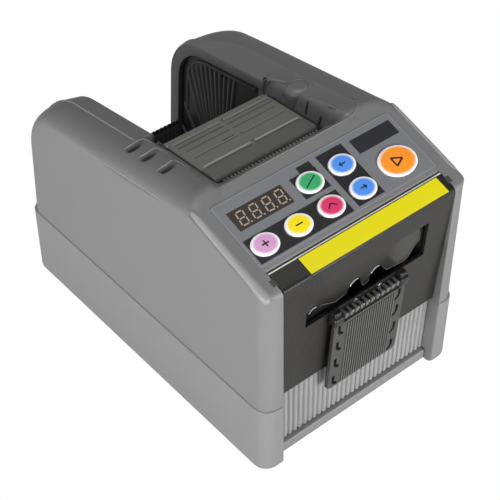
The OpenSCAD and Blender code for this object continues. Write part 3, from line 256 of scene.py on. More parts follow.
class Solid:
    """Gathers the faces of one object, in millimetres, each with the look that is set when it is added."""

    def __init__(self, look, place=plain):
        self.look = look
        self.place = place
        self.points = []
        self.faces = []
        self.looks = []

    def add(self, points, faces):
        start = len(self.points)
        self.points += [self.place(*point) for point in points]
        self.faces += [[start + i for i in face] for face in faces]
        self.looks += [self.look] * len(faces)

    def sheet(self, rows, closed=False):
        """Quads over rows of points; closed joins the end of each row to its start."""
        width = len(rows[0])
        faces = []
        for r in range(len(rows) - 1):
            for c in range(width if closed else width - 1):
                d = (c + 1) % width
                faces.append((r * width + c, r * width + d, (r + 1) * width + d, (r + 1) * width + c))
        self.add([point for row in rows for point in row], faces)

    def bar(self, rings):
        """A skin over rings of points, with both ends filled."""
        self.sheet(rings, closed=True)
        for ring in (rings[0], rings[-1]):
            self.add(ring, [range(len(ring))])

    def flat(self, loops, lift):
        """A flat face inside the first outline and outside the others; lift places its points."""
        points = [Vector(point) for loop in loops for point in loop]
        edges = []
        start = 0
        for loop in loops:
            edges += [(start + i, start + (i + 1) % len(loop)) for i in range(len(loop))]
            start += len(loop)
        corners, _, faces, *_ = delaunay_2d_cdt(points, edges, [], 1, 1e-6)
        middles = [sum((corners[i] for i in face), Vector((0, 0))) / len(face) for face in faces]
        kept = [face for face, middle in zip(faces, middles) if covered(loops, middle)]
        self.add([lift(point.x, point.y) for point in corners], kept)

    def slab(self, outer, low, high, holes=(), edge=0.0, steps=3, lift=plain):
        """A plate over an outline from one height to another, with its upper edges rounded."""
        loops = [turned_left(outer)] + [list(reversed(turned_left(hole))) for hole in holes]
        rise = edge if high > low else -edge
        levels = [(0.0, low)]
        for angle in quarter(steps) if edge else [0.0]:
            levels.append((edge * (1 - math.cos(angle)), high - rise * (1 - math.sin(angle))))
        for loop in loops:
            self.sheet([[lift(x, y, z) for x, y in inset(loop, depth)] for depth, z in levels], closed=True)
        self.flat([inset(loop, edge) for loop in loops], lambda x, y: lift(x, y, high))
        self.flat(loops, lambda x, y: lift(x, y, low))

    def block(self, low, high, edge=0.4, steps=2):
        """A box with rounded edges."""
        (x0, y0, z0), (x1, y1, z1) = low, high
        edge = min(edge, 0.49 * min(x1 - x0, y1 - y0, z1 - z0))
        turn = quarter(steps)
        levels = [(edge * (1 - math.sin(a)), z0 + edge * (1 - math.cos(a))) for a in turn]
        levels += [(edge * (1 - math.cos(a)), z1 - edge * (1 - math.sin(a))) for a in turn]
        rings = []
        for depth, z in levels:
            radius = max(edge - depth, LEAST_ROUND)
            loop = rounded_rect(x0 + depth, y0 + depth, x1 - depth, y1 - depth, radius, steps)
            rings.append([(x, y, z) for x, y in loop])
        self.bar(rings)

    def tube(self, path, radii, sides=12):
        """A round bar along a path of points, with a radius at each."""
        angles = [math.tau * k / sides for k in range(sides)]
        rings = []
        for i, point in enumerate(path):
            here = Vector(point)
            along = (Vector(path[min(i + 1, len(path) - 1)]) - Vector(path[max(i - 1, 0)])).normalized()
            side = along.cross(Vector(ALONG_Z)).normalized()
            top = side.cross(along)
            rings.append([tuple(here + radii[i] * (side * math.cos(a) + top * math.sin(a))) for a in angles])
        self.bar(rings)

    def thread(self, path, radius, tip):
        """A thin even bar along a path, with finer ends."""
        self.tube(path, [tip] + [radius] * (len(path) - 2) + [tip], sides=8)

    def mesh(self, name):
        """The faces as a mesh in the row's metres, with their looks."""
        mesh = bpy.data.meshes.new(name)
        mesh.from_pydata([to_row(point) for point in self.points], [], self.faces)
        looks = list(dict.fromkeys(self.looks))
        for look in looks:
            mesh.materials.append(look)
        mesh.polygons.foreach_set("material_index", [looks.index(look) for look in self.looks])
        return mesh

    def finish(self, name, body, slot, nodes=(), sharp=SHARP):
        """One mesh object that moves with a CAD body and stands for its CAD nodes."""
        settle(name, self.mesh(name), body, nodes, sharp)

    def repeat(self, name, body, slot, count, step):
        """Copies of the form side by side, a step in millimetres apart, as one object."""
        source = bpy.data.objects.new(name + "_one", self.mesh(name))
        bpy.context.scene.collection.objects.link(source)
        layout = source.modifiers.new("repeat", "NODES")
        layout.node_group = REPEAT
        layout[REPEAT_ENTRIES["Count"]] = count
        layout[REPEAT_ENTRIES["Step"]] = [step / 1000, 0.0, 0.0]
        made = evaluated_mesh(source)
        bpy.data.objects.remove(source)
        settle(name, made, body)


def repeat_group():
    """A geometry tree that lays copies of its input along a line and joins them."""
    tree = bpy.data.node_groups.new("repeat", "GeometryNodeTree")
    tree.is_modifier = True
    entries = {}
    for name, kind in (("Geometry", "Geometry"), ("Count", "Int"), ("Step", "Vector")):
        socket = tree.interface.new_socket(name, in_out="INPUT", socket_type="NodeSocket" + kind)
        entries[name] = socket.identifier
    tree.interface.new_socket("Geometry", in_out="OUTPUT", socket_type="NodeSocketGeometry")
    source = tree.nodes.new("NodeGroupInput")
    result = tree.nodes.new("NodeGroupOutput")
    line = tree.nodes.new("GeometryNodeMeshLine")
    copies = tree.nodes.new("GeometryNodeInstanceOnPoints")
    joined = tree.nodes.new("GeometryNodeRealizeInstances")
    tree.links.new(source.outputs["Count"], line.inputs["Count"])
    tree.links.new(source.outputs["Step"], line.inputs["Offset"])
    tree.links.new(line.outputs["Mesh"], copies.inputs["Points"])
    tree.links.new(source.outputs["Geometry"], copies.inputs["Instance"])
    tree.links.new(copies.outputs["Instances"], joined.inputs["Geometry"])
    tree.links.new(joined.outputs["Geometry"], result.inputs["Geometry"])
    return tree, entries


REPEAT, REPEAT_ENTRIES = repeat_group()
SAME_SPOT = 2e-6
NO_LENGTH = 1e-7
FLAT_ANGLE = math.radians(1.0)
HARD_ANGLE = math.radians(32)


def evaluated_mesh(obj):
    """A mesh of its own from an object with its modifiers."""
    bpy.context.view_layer.update()
    return bpy.data.meshes.new_from_object(obj.evaluated_get(bpy.context.evaluated_depsgraph_get()))


def settle(name, mesh, body, nodes=(), sharp=SHARP):
    """Cleans a mesh, shades it by its edges' angles and hands it to the frame."""
    shape = bmesh.new()
    shape.from_mesh(mesh)
    bmesh.ops.remove_doubles(shape, verts=shape.verts, dist=SAME_SPOT)
    bmesh.ops.dissolve_degenerate(shape, edges=shape.edges, dist=NO_LENGTH)
    bmesh.ops.recalc_face_normals(shape, faces=shape.faces)
    shape.to_mesh(mesh)
    shape.free()
    mesh.polygons.foreach_set("use_smooth", [True] * len(mesh.polygons))
    mesh.set_sharp_from_angle(angle=math.radians(sharp))
    obj = bpy.data.objects.new(name, mesh)
    bpy.context.scene.collection.objects.link(obj)
    weigh = obj.modifiers.new("weigh", "WEIGHTED_NORMAL")
    weigh.keep_sharp = True
    obj.data = evaluated_mesh(obj)
    obj.modifiers.clear()
    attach(obj, body)
    if nodes:
        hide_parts(*nodes)


def softened(node, body, look, edge):
    """A CAD node's own form, cleaned of its flat triangles and with its edges rounded."""
    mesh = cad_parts[node].data.copy()
    mesh.materials.clear()
    mesh.materials.append(look)
    shape = bmesh.new()
    shape.from_mesh(mesh)
    bmesh.ops.remove_doubles(shape, verts=shape.verts, dist=SAME_SPOT)
    bmesh.ops.dissolve_limit(shape, angle_limit=FLAT_ANGLE, verts=shape.verts, edges=shape.edges)
    hard = [e for e in shape.edges if len(e.link_faces) == 2 and e.calc_face_angle(0) > HARD_ANGLE]
    bmesh.ops.bevel(shape, geom=hard, offset=edge / 1000, offset_type="OFFSET", segments=2, profile=0.5,
                    affect="EDGES", clamp_overlap=True)
    shape.to_mesh(mesh)
    shape.free()
    settle(node + "_look", mesh, body, [node])


# Shader maths

class Value:
    """A socket in a material's node tree, so that masks read as sums."""

    def __init__(self, tree, socket):
        self.tree = tree
        self.socket = socket

    def math(self, operation, other=None, clamp=False):
        node = self.tree.nodes.new("ShaderNodeMath")
        node.operation = operation
        node.use_clamp = clamp
        self.tree.links.new(self.socket, node.inputs[0])
        if isinstance(other, Value):
            self.tree.links.new(other.socket, node.inputs[1])
        elif other is not None:
            node.inputs[1].default_value = other
        return Value(self.tree, node.outputs[0])

    def __add__(self, other):
        return self.math("ADD", other)

    def __sub__(self, other):
        return self.math("SUBTRACT", other)

    def __mul__(self, other):
        return self.math("MULTIPLY", other)

    def __neg__(self):
        return self * -1.0

    def __abs__(self):
        return self.math("ABSOLUTE")

    def least(self, other):
        return self.math("MINIMUM", other)

    def most(self, other):
        return self.math("MAXIMUM", other)

    def root(self):
        return self.math("SQRT")

    def over(self, period):
        """The remainder within a period, from 0."""
        return self.math("FLOORED_MODULO", period)

    def ramp(self, start, end):
        """0 at the start, 1 at the end, even between and level beyond."""
        return ((self - start) * (1.0 / (end - start))).math("ADD", 0.0, clamp=True)

    def inside(self, soft):
        """1 where a distance is below zero, 0 above, over a soft edge in millimetres."""
        return (self * (-1.0 / soft)).math("ADD", 0.5, clamp=True)


def box_distance(x, y, cx, cy, half_x, half_y, radius=0.0):
    """Distance, in millimetres, to a rectangle with round corners."""
    dx = abs(x - cx) - (half_x - radius)
    dy = abs(y - cy) - (half_y - radius)
    outside = (dx.most(0.0) * dx.most(0.0) + dy.most(0.0) * dy.most(0.0)).root()
    return outside + dx.most(dy).least(0.0) - radius


def oval_distance(x, y, cx, cy, half_x, half_y):
    """Distance to an oval, exact on its outline."""
    dx = (x - cx) * (1.0 / half_x)
    dy = (y - cy) * (1.0 / half_y)
    return ((dx * dx + dy * dy).root() - 1.0) * min(half_x, half_y)


def bar_distance(x, y, start, end, half):
    """Distance to a straight bar with square sides between two points."""
    along = Vector(end) - Vector(start)
    length = along.length
    along.normalize()
    middle = (Vector(start) + Vector(end)) / 2
    u = (x - middle.x) * along.x + (y - middle.y) * along.y
    v = (x - middle.x) * -along.y + (y - middle.y) * along.x
    return (abs(u) - length / 2).most(abs(v) - half)


def srgb(text):
    """Linear colour from a web colour."""
    channels = [int(text[i:i + 2], 16) / 255 for i in (1, 3, 5)]
    return tuple(c / 12.92 if c <= 0.04045 else ((c + 0.055) / 1.055) ** 2.4 for c in channels) + (1.0,)


def moved_to(colour, level, share):
    """A linear colour with each channel moved by a share towards a level."""
    return tuple(mix(channel, level, share) for channel in colour[:3]) + (1.0,)


DRIFT_SCALE = 45.0
ROUGH_DRIFT = 0.1
ROUGH_GRAIN = 0.06
BUMP_DEPTH = 0.0004


class Look:
    """A procedural material: a base colour with a slow drift, a fine grain and prints laid over it."""

    def __init__(self, name, colour, rough=0.5, drift=0.06, grain=0.04, grain_size=0.5, metal=0.0, coat=0.0,
                 specular=0.5):
        self.material = bpy.data.materials.new(name)
        self.material.use_nodes = True
        self.tree = self.material.node_tree
        self.shader = self.tree.nodes["Principled BSDF"]
        self.shader.inputs["Metallic"].default_value = metal
        self.shader.inputs["Coat Weight"].default_value = coat
        self.shader.inputs["Specular IOR Level"].default_value = specular
        self.where = self.tree.nodes.new("ShaderNodeTexCoord").outputs["Object"]
        slow = self.noise(DRIFT_SCALE, 2.0)
        self.fine = self.noise(1000.0 / grain_size, 3.0)
        dark = moved_to(srgb(colour), 0.0, drift)
        light = tuple(min(1.0, channel) for channel in moved_to(srgb(colour), 0.0, -drift))
        self.colour = self.blend(slow, dark, light)
        self.rough = slow * ROUGH_DRIFT + self.fine * ROUGH_GRAIN + (rough - (ROUGH_DRIFT + ROUGH_GRAIN) / 2)
        self.bump = self.tree.nodes.new("ShaderNodeBump")
        self.bump.inputs["Distance"].default_value = BUMP_DEPTH
        self.raise_by(self.fine, grain)
        self.tree.links.new(self.bump.outputs["Normal"], self.shader.inputs["Normal"])

    def raise_by(self, height, strength):
        """Sets what the bump follows."""
        self.tree.links.new(height.socket, self.bump.inputs["Height"])
        self.bump.inputs["Strength"].default_value = strength

    def noise(self, scale, detail):
        node = self.tree.nodes.new("ShaderNodeTexNoise")
        node.inputs["Scale"].default_value = scale
        node.inputs["Detail"].default_value = detail
        self.tree.links.new(self.where, node.inputs["Vector"])
        return Value(self.tree, node.outputs["Fac"])

    def blend(self, share, under, over):
        """A colour socket between two colours, each a socket or plain numbers."""
        node = self.tree.nodes.new("ShaderNodeMix")
        node.data_type = "RGBA"
        factor, first, second = node.inputs[0], node.inputs[6], node.inputs[7]
        self.tree.links.new(share.socket, factor)
        for colour, entry in ((under, first), (over, second)):
            if isinstance(colour, tuple):
                entry.default_value = colour
            else:
                self.tree.links.new(colour, entry)
        return node.outputs[2]

    def axis(self, direction, origin=(0, 0, 0)):
        """Distance in millimetres along a direction in the part's frame, from a point in it."""
        node = self.tree.nodes.new("ShaderNodeVectorMath")
        node.operation = "DOT_PRODUCT"
        self.tree.links.new(self.where, node.inputs[0])
        node.inputs[1].default_value = direction
        start = Vector(to_row(origin)).dot(Vector(direction)) * 1000
        return Value(self.tree, node.outputs["Value"]) * 1000.0 - start

    def panel_place(self):
        """Places across and up the control panel, in millimetres."""
        return self.axis(ALONG_X), self.axis(PANEL_UP, on_panel(0, 0, 0))

    def lay(self, share, colour):
        """Lays a web colour over the look, as far as the share says."""
        self.colour = self.blend(share, self.colour, srgb(colour))

    def print(self, distance, colour, soft=0.06):
        """Lays a web colour where a distance is below zero."""
        self.lay(distance.inside(soft), colour)

    def done(self):
        self.tree.links.new(self.colour, self.shader.inputs["Base Color"])
        self.tree.links.new(self.rough.socket, self.shader.inputs["Roughness"])
        return self.material


def material(name, colour, **finish):
    """A look with no prints."""
    return Look(name, colour, **finish).done()


HOUSING_FINISH = {"rough": 0.46, "drift": 0.03, "grain": 0.05, "grain_size": 0.7}
# Painted shadow beside each bead: its depth under the panel, half width, middle and reach up the panel
BEAD_SHADE = 2.6
BEAD_SHADE_HALF = 0.3
BEAD_MID = 33.0
BEAD_REACH = 24.0


def upper_look():
    """The upper housing's grey, with a soft dark line of painted shadow on the outer side of each bead."""
    look = Look("housing_grey", "#737373", **HOUSING_FINISH)
    x, up = look.panel_place()
    out = look.axis(PANEL_OUT, on_panel(0, 0, 0))
    # Painted shadow: a soft dark line on the wall just under each bead
    line = (abs(out + BEAD_SHADE) - BEAD_SHADE_HALF).most(-abs(x) + UPPER_HALF - 1.0)
    look.print(line.most(abs(up - BEAD_MID) - BEAD_REACH), "#565656", soft=1.6)
    return look.done()


HOUSING_GREY = upper_look()
# The beads: the housing's plastic made lighter, a painted highlight
BEAD_HIGHLIGHT_GREY = material("bead_painted_highlight", "#888888", **HOUSING_FINISH)
# The base's own grey, set a little lighter than the housing's as painted light for the brighter lower walls
BASE_GREY = material("base_grey", "#7a7a7a", **HOUSING_FINISH)
PANEL_GREY = material("panel_grey", "#8e8e8e", **HOUSING_FINISH)
# Dark grey: the guide pin's block, and the painted shade of the slots
DARK_GREY_AND_SHADE = material("dark_grey_and_shade", "#3c3c3c", rough=0.6, drift=0.05)
BLACK_PLASTIC = material("black_plastic", "#1d1d1f", rough=0.38, drift=0.12)
LINER_BLACK = material("liner_black", "#3c3e3d", drift=0.12)
STEEL = material("steel", "#b9bbbe", rough=0.3, drift=0.08, metal=1.0)

# Upper housing: one outline along the top at the inner edge of its shoulders, one where they meet the walls

REAR = BODY_L - SEAM_STEP
SEAM_TOP = SEAM_H - 0.6
RIDGE = (RIDGE_D, panel_z(RIDGE_D))
PANEL_WAY = PANEL_UP[1:]
CREST_WAY = (math.cos(CHEEK_TILT), -math.sin(CHEEK_TILT))
REAR_WAY = (-math.sin(REAR_LEAN), math.cos(REAR_LEAN))
BEND_ROUND = 4.0
RIDGE_ROUND = 14.0
PANEL_ROUND = 2.6
CREST_ROUND = 7.0
STRAIGHT_STEPS = (6, 24, 44, 8)
ARC_STEPS = (8, 5, 20)
BEND_STATION = STRAIGHT_STEPS[0]
PANEL_STATION = BEND_STATION + ARC_STEPS[0]
ARC_STATION = PANEL_STATION + STRAIGHT_STEPS[1] + ARC_STEPS[1] + STRAIGHT_STEPS[2]


def meet(p, p_way, q, q_way):
    """Where two lines cross, each a point and a direction."""
    cross = p_way[0] * q_way[1] - p_way[1] * q_way[0]
    reach = ((q[0] - p[0]) * q_way[1] - (q[1] - p[1]) * q_way[0]) / cross
    return (p[0] + p_way[0] * reach, p[1] + p_way[1] * reach)


def top_outline(front, under_panel, under_crest, rear, radii):
    """The side view's outline, with its front, panel, crest and rear each moved in by a depth."""
    on_front = (SEAM_STEP + front, SEAM_TOP)
    on_slope = (RIDGE[0] + under_panel * math.sin(PANEL_TILT), RIDGE[1] - under_panel * math.cos(PANEL_TILT))
    on_crest = (RIDGE[0] - under_crest * math.sin(CHEEK_TILT), RIDGE[1] - under_crest * math.cos(CHEEK_TILT))
    on_rear = (REAR - rear / math.cos(REAR_LEAN), SEAM_H)
    bend = meet(on_front, (0.0, 1.0), on_slope, PANEL_WAY)
    ridge = meet(on_slope, PANEL_WAY, on_crest, CREST_WAY)
    back = meet(on_crest, CREST_WAY, on_rear, REAR_WAY)
    foot = meet(on_rear, REAR_WAY, (0.0, SEAM_TOP), (1.0, 0.0))
    return filleted([on_front, bend, ridge, back, foot], radii, STRAIGHT_STEPS, ARC_STEPS)


def arch(depth):
    """The outline with its crest and rear moved in by a depth."""
    return top_outline(0, 0, depth, depth, (BEND_ROUND, RIDGE_ROUND, CHEEK_R - depth))


TOP = arch(0.0)
EDGE = top_outline(CORNER_R, PANEL_ROUND, CREST_ROUND, CORNER_R, (5.0, RIDGE_ROUND, CHEEK_R - 6.0))


def first_past(y):
    """The first station along the top behind a depth."""
    return next(i for i, point in enumerate(TOP) if point[0] > y)


PANEL_L = 59.5
VALLEY_STATION = first_past(on_panel(0, PANEL_L, 0)[1])
VALLEY_D = TOP[VALLEY_STATION][0]
WELL_STATION = min(range(len(TOP)), key=lambda i: abs(TOP[i][0] - WELL_D))
DECK_STATION = first_past(on_panel(0, DECK_UP, 0)[1])
STRIP_FALL = {LEFT: 0.22, RIGHT: 0.1}
STRIP_END_X = 37.5
LEFT_END_X = 52.0
SHOULDER_TURN = (44.0, 70.0)
CREASE_TURN = {LEFT: (117.0, 121.0), RIGHT: (60.0, 66.0)}
RIGHT_SLOPE = 4.5
LEFT_SLOPES = (1.1, 0.92)
SLOPE_TURN = (66.0, 90.0)
CREST_TURN = (64.0, 95.0)
VALLEY_ROUND = 3.0
PIT_L = 8.5
PIT_DROP = 5.4
RIM_X = {LEFT: 35.0, RIGHT: 33.0}
RIM_ROUND = 1.2
RIM_END_ROUND = 0.4
WINDOW_LEAD = 1.6
SLANT_DEPTH = 5.1
SLANT_X = 37.0
SLANT = 1.6
CREASE_RISE = 0.5
FLAT_END = 0.5
APRON = 8.0
BAND_COLUMNS = 44
BAND_ROWS = 16
SIDE_COLUMNS = 24


def shoulder_start(side, i):
    """How far out from the middle the top is flat, at a station along the outline."""
    if i <= PANEL_STATION:
        return mix(UPPER_HALF - CORNER_R, UPPER_HALF - PANEL_ROUND, ease(i, BEND_STATION, PANEL_STATION))
    start = mix(UPPER_HALF - PANEL_ROUND, CREST_X, ease(TOP[i][0], *SHOULDER_TURN))
    if side == LEFT:
        return mix(start, LEFT_END_X, ease(i, ARC_STATION, ARC_STATION + 20))
    return mix(start, STRIP_END_X, ease(i, ARC_STATION - 10, ARC_STATION + 5))


def crease(side, i):
    """How much of its height the crest's crease has at a station; on the left it starts further back."""
    return ease(TOP[i][0], *CREASE_TURN[side])


def shoulder_rows(side):
    """The round shoulder on one side, from its flat inner edge to the side wall."""
    rows = []
    for i, ((y0, z0), (y1, z1)) in enumerate(zip(TOP, EDGE)):
        start = shoulder_start(side, i)
        raised = crease(side, i)
        sunk = CREASE_RISE * raised / math.hypot(y1 - y0, z1 - z0)
        row = [(start - FLAT_END, 0.0), (start + mix(-0.3, -0.1, raised), -0.6 * sunk),
               (start + mix(-0.1, 0.4, raised), -0.6 * sunk)]
        for angle in quarter(9):
            x = mix(start + 0.8 * raised, UPPER_HALF, math.sin(angle))
            row.append((x, sunk + (1 - sunk) * (1 - math.cos(angle))))
        rows.append([(side * x, mix(y0, y1, share), mix(z0, z1, share)) for x, share in row])
    return rows


def crest_z(y):
    """Height of the cheeks' crest at a depth."""
    return RIDGE[1] - (y - RIDGE_D) * math.tan(CHEEK_TILT)


def crest_height(x, y):
    """The cheek's top: level across its crest, then a strip that falls towards the well."""
    fall = STRIP_FALL[RIGHT if x > 0 else LEFT]
    slant = SLANT * max(0.0, SLANT_X + x) if x < 0 else 0.0
    return crest_z(y) - fall * max(0.0, CREST_X - FLAT_END - abs(x)) - slant


def valley_height(x, y):
    """The top round the tape guide: the cheeks, the hollow's sides and the band behind the panel.

    The left side falls gently under the gills; the right one is a steep wall under the strip.
    """
    top = soft_min(panel_z(y), mix(crest_z(y), crest_height(x, y), ease(y, *CREST_TURN)), 1.0)
    band = mix(panel_z(VALLEY_D), GUIDE_FRONT_H + 0.4, (y - VALLEY_D) / (LIP_D - VALLEY_D))
    slope = RIGHT_SLOPE if x > 0 else mix(*LEFT_SLOPES, ease(y, *SLOPE_TURN))
    side = guide_z(y) - 0.3 + slope * (abs(x) - WELL_HALF)
    return soft_min(top, soft_max(band, side, VALLEY_ROUND), 0.001 + 0.7 * ease(y, VALLEY_D, VALLEY_D + 4.0))


def on_valley(points, lift=0.0):
    return [(x, y, valley_height(x, y) + lift) for x, y in points]


def column_side(solid, side):
    """The front of one column, and its inner wall beside the cover."""
    front = TOP[:DECK_STATION + 1]
    rows = []
    for i, (y, z) in enumerate(front):
        inner = recess_half(min(z, COLUMN_TOP))
        start = shoulder_start(side, i) - FLAT_END
        rows.append([(side * x, y, z) for x in (inner, mix(inner, start, 0.5), start)])
    solid.sheet(rows)
    low = BEND_H - 6
    outline = front + [(front[-1][0], low), (FLANGE_D, low), (FLANGE_D, SEAM_TOP)]
    solid.flat([turned_left(outline)], lambda y, z: (side * recess_half(z), y, z))


def deck(solid):
    """The flat panel round the control overlay."""
    right = []
    for i in range(DECK_STATION, VALLEY_STATION + 1):
        y, z = TOP[i]
        right.append((shoulder_start(RIGHT, i) - FLAT_END, math.hypot(y, z - BEND_H)))
    (_, low), (reach, high) = right[0], right[-1]
    half = recess_half(COLUMN_TOP)
    outer = right + [(reach * (1 - 2 * c / BAND_COLUMNS), high) for c in range(1, BAND_COLUMNS)]
    outer += [(-x, up) for x, up in reversed(right)]
    outer += [(-half, low), (-half, DECK_UP), (half, DECK_UP), (half, low)]
    hole_half = OVERLAY_W / 2 - 1
    hole = rounded_rect(-hole_half, OVERLAY_UP + 1, hole_half, OVERLAY_UP + OVERLAY_L - 1, 3.0)
    solid.flat([turned_left(outer), hole], lambda x, up: on_panel(x, up, 0))
    _, y, z = on_panel(0, DECK_UP - 0.6, -0.5)
    edge = [on_panel(0, DECK_UP, 0)[1:], (y, z), (y, z - APRON)]
    solid.sheet([[(-half, y, z), (half, y, z)] for y, z in edge])


BAND_LINE = ((50.0, 70.0), (49.2, 66.0), (47.6, 63.4), (45.6, 61.6), (43.0, 60.0), (40.0, 59.0), (36.0, 58.5),
             (20.0, 58.5), (0.0, 58.5), (-20.0, 58.5), (-36.0, 58.5))


def flat_half(y):
    """Half the width of the flat top at a depth."""
    low = max(i for i in range(ARC_STATION) if TOP[i][0] <= y + 1e-6)
    share = (y - TOP[low][0]) / (TOP[low + 1][0] - TOP[low][0])
    return mix(shoulder_start(RIGHT, low), shoulder_start(RIGHT, low + 1), share) - FLAT_END


def valley(solid):
    """The guide's hollow: the band behind the panel, the sloping sides, the pit and the well's front."""
    rows = []
    for k in range(BAND_ROWS + 1):
        y = mix(VALLEY_D, LIP_D, k / BAND_ROWS)
        half = flat_half(y)
        rows.append(on_valley([(half * (2 * c / BAND_COLUMNS - 1), y) for c in range(BAND_COLUMNS + 1)]))
    solid.sheet(rows)
    solid.thread(on_valley(BAND_LINE, -0.1), 0.32, 0.1)
    side_ys = [LIP_D] + [y for y, z in TOP[VALLEY_STATION:WELL_STATION] if y > LIP_D + 0.5] + [WELL_D]
    for side in SIDES:
        rows = []
        for y in side_ys:
            xs = [mix(WELL_HALF, flat_half(y), (c / SIDE_COLUMNS) ** 1.6) for c in range(SIDE_COLUMNS + 1)]
            rows.append(on_valley([(side * x, y) for x in xs]))
        solid.sheet(rows)
        solid.sheet([rows[-1], [(x, y, crest_height(x, y)) for x, y, z in rows[-1]]])
        inner = [row[0] for row in rows]
        solid.sheet([inner, [(x, y, GUIDE_REAR_H - 6) for x, y, z in inner]])
    lip = on_valley([(WELL_HALF * k / 2, LIP_D) for k in range(-2, 3)])
    solid.sheet([lip, [(x, y, GUIDE_REAR_H - 3) for x, y, z in lip]])
    pit_d, pit_z = WELL_D - PIT_L, GUIDE_REAR_H - PIT_DROP
    floor_line = [(LIP_D + INLET_L, GUIDE_FRONT_H - GUIDE_T - 0.4), (pit_d, GUIDE_REAR_H - GUIDE_T - 0.5),
                  (pit_d, pit_z), (WELL_D, pit_z), (WELL_D, SEAM_H)]
    solid.sheet([[(-WELL_HALF, y, z), (WELL_HALF, y, z)] for y, z in floor_line])


def rim_profile(side, edge):
    """The cheek's inner top edge as (x, depth): a slant on the left, a rounded edge on the right."""
    x = RIM_X[side]
    if side == LEFT:
        return [(x, SLANT_DEPTH), (mix(x, SLANT_X, 0.5), 2.6), (SLANT_X, 0.2), (SLANT_X + 0.5, 0.0)]
    return [(x + RIM_ROUND * (1 - math.cos(a)), edge * (1 - math.sin(a))) for a in quarter(4)]


def cheek_side(solid, side):
    """The top and inner wall of one cheek beside the tape well."""
    rows = []
    for i in range(WELL_STATION, len(TOP)):
        (y0, z0), (y1, z1) = TOP[i], EDGE[i]
        span = math.hypot(y1 - y0, z1 - z0)
        start = shoulder_start(side, i)
        row = []
        edge = mix(RIM_ROUND, RIM_END_ROUND, ease(i, ARC_STATION + 8, ARC_STATION + 20))
        for x, depth in rim_profile(side, edge):
            share = (depth + STRIP_FALL[side] * (min(CREST_X, start) - x)) / span
            row.append((side * x, mix(y0, y1, share), mix(z0, z1, share)))
        rows.append(row + [(side * (start - FLAT_END), y0, z0)])
    solid.sheet(rows)
    rim = [row[0][1:] for row in rows] + [(WELL_D, SEAM_H)]
    front, low = WELL_D + WINDOW_LEAD, SEAM_H + 0.5
    window = [point for point in arch(RIM_W) if point[0] > front]
    window = [(front, window[0][1]), *window, (window[-1][0], low), (front, low)]
    solid.slab(rim, WELL_HALF + RIM_T, RIM_X[side], [window], edge=0.6, lift=lambda y, z, x: (side * x, y, z))


# Each stop on a bead: up the panel, across it, out of it, radius
BEAD_STOPS = (
    (0.8, 62.9, -2.2, 0.6), (1.6, 62.9, -2.0, 1.7), (3.0, 62.9, -1.8, 2.3), (5.5, 62.9, -1.7, 2.5),
    (9.0, 62.9, -1.6, 2.4), (14.0, 63.0, -1.35, 2.15), (20.0, 63.1, -1.2, 2.0), (45.0, 63.1, -1.2, 1.85),
    (53.0, 63.2, -1.1, 1.6), (56.5, 63.2, -1.1, 1.3), (57.8, 63.2, -1.2, 0.4),
)
BEAD_SIZE = {LEFT: 1.0, RIGHT: 0.78}
BEAD_FOOT = {LEFT: 0.0, RIGHT: 7.0}


def beads(solid):
    """A round bead along each side of the panel, in a lighter grey that is a painted highlight, thickest near
    its foot; the right one is smaller.
    """
    solid.look = BEAD_HIGHLIGHT_GREY
    end = BEAD_STOPS[-1][0]
    for side in SIDES:
        path = []
        radii = []
        for up, x, out, radius in BEAD_STOPS:
            path.append(on_panel(side * x, mix(BEAD_FOOT[side], end, up / end), out))
            radii.append(radius * BEAD_SIZE[side])
        solid.tube(path, radii, sides=24)
    solid.look = HOUSING_GREY


GILL_ROWS = (117.4, 105.7, 90.6)
GILL_LIP = ((-56.4, 0.1), (-53.4, 0.0), (-50.8, -0.2), (-47.0, 0.6),
            (-43.8, 0.6), (-42.3, -1.2), (-42.0, -4.8), (-42.4, -9.2))
GILL_LIP_RADII = (0.1, 0.4, 0.5, 0.45, 0.4, 0.4, 0.3, 0.1)
GILL_FOOT = ((-56.5, -2.3), (-56.0, -4.6), (-53.6, -5.2), (-50.4, -4.9), (-46.6, -2.9), (-44.0, -0.6))
GILL_LIFT = 0.15
# The scoop's darkest painted shade: middle, from the gill's row, and half sizes
SCOOP_SHADE = (-54.4, -4.4, 6.6, 2.2)
SHOULDER_DROP = 7.08
WALL_LINE_D = (70.0, 134.0)
WALL_BAND_H = 2.0


def scoop_shade_look():
    """Painted shade for the gills' scoops: a grey a little darker than the housing, darkest at their near
    edge, under the lip's outer tip.
    """
    look = Look("painted_shade_sheet", "#666666", drift=0.03)
    x, y = look.axis(ALONG_X), look.axis(ALONG_Y)
    shade_x, ahead, half_x, half_y = SCOOP_SHADE
    for row_y in GILL_ROWS:
        look.print(oval_distance(x, y, shade_x, row_y + ahead, half_x, half_y), "#202020", soft=2.0)
    return look.done()


# Painted highlight: a lighter grey for the gills' lips and the lines along the walls
EDGE_HIGHLIGHT = material("painted_edge_highlight", "#8c8c8c", rough=0.4, drift=0.03)
SHADE_SHEET = scoop_shade_look()


def along(path, share):
    """A point on a path of points, by the share of its steps."""
    step = min(len(path) - 2, int(share * (len(path) - 1)))
    rest = share * (len(path) - 1) - step
    return tuple(mix(a, b, rest) for a, b in zip(path[step], path[step + 1]))


def on_left_top(points):
    """Points a little above the left cheek's top, on its hollow side or on its shoulder."""
    lifted = []
    for x, y in points:
        share = max(0.0, (-x - CREST_X) / (UPPER_HALF - CREST_X))
        drop = SHOULDER_DROP * (1 - math.sqrt(1 - share * share))
        lifted.append((x, y, valley_height(max(x, FLAT_END - CREST_X), y) - drop + GILL_LIFT))
    return lifted


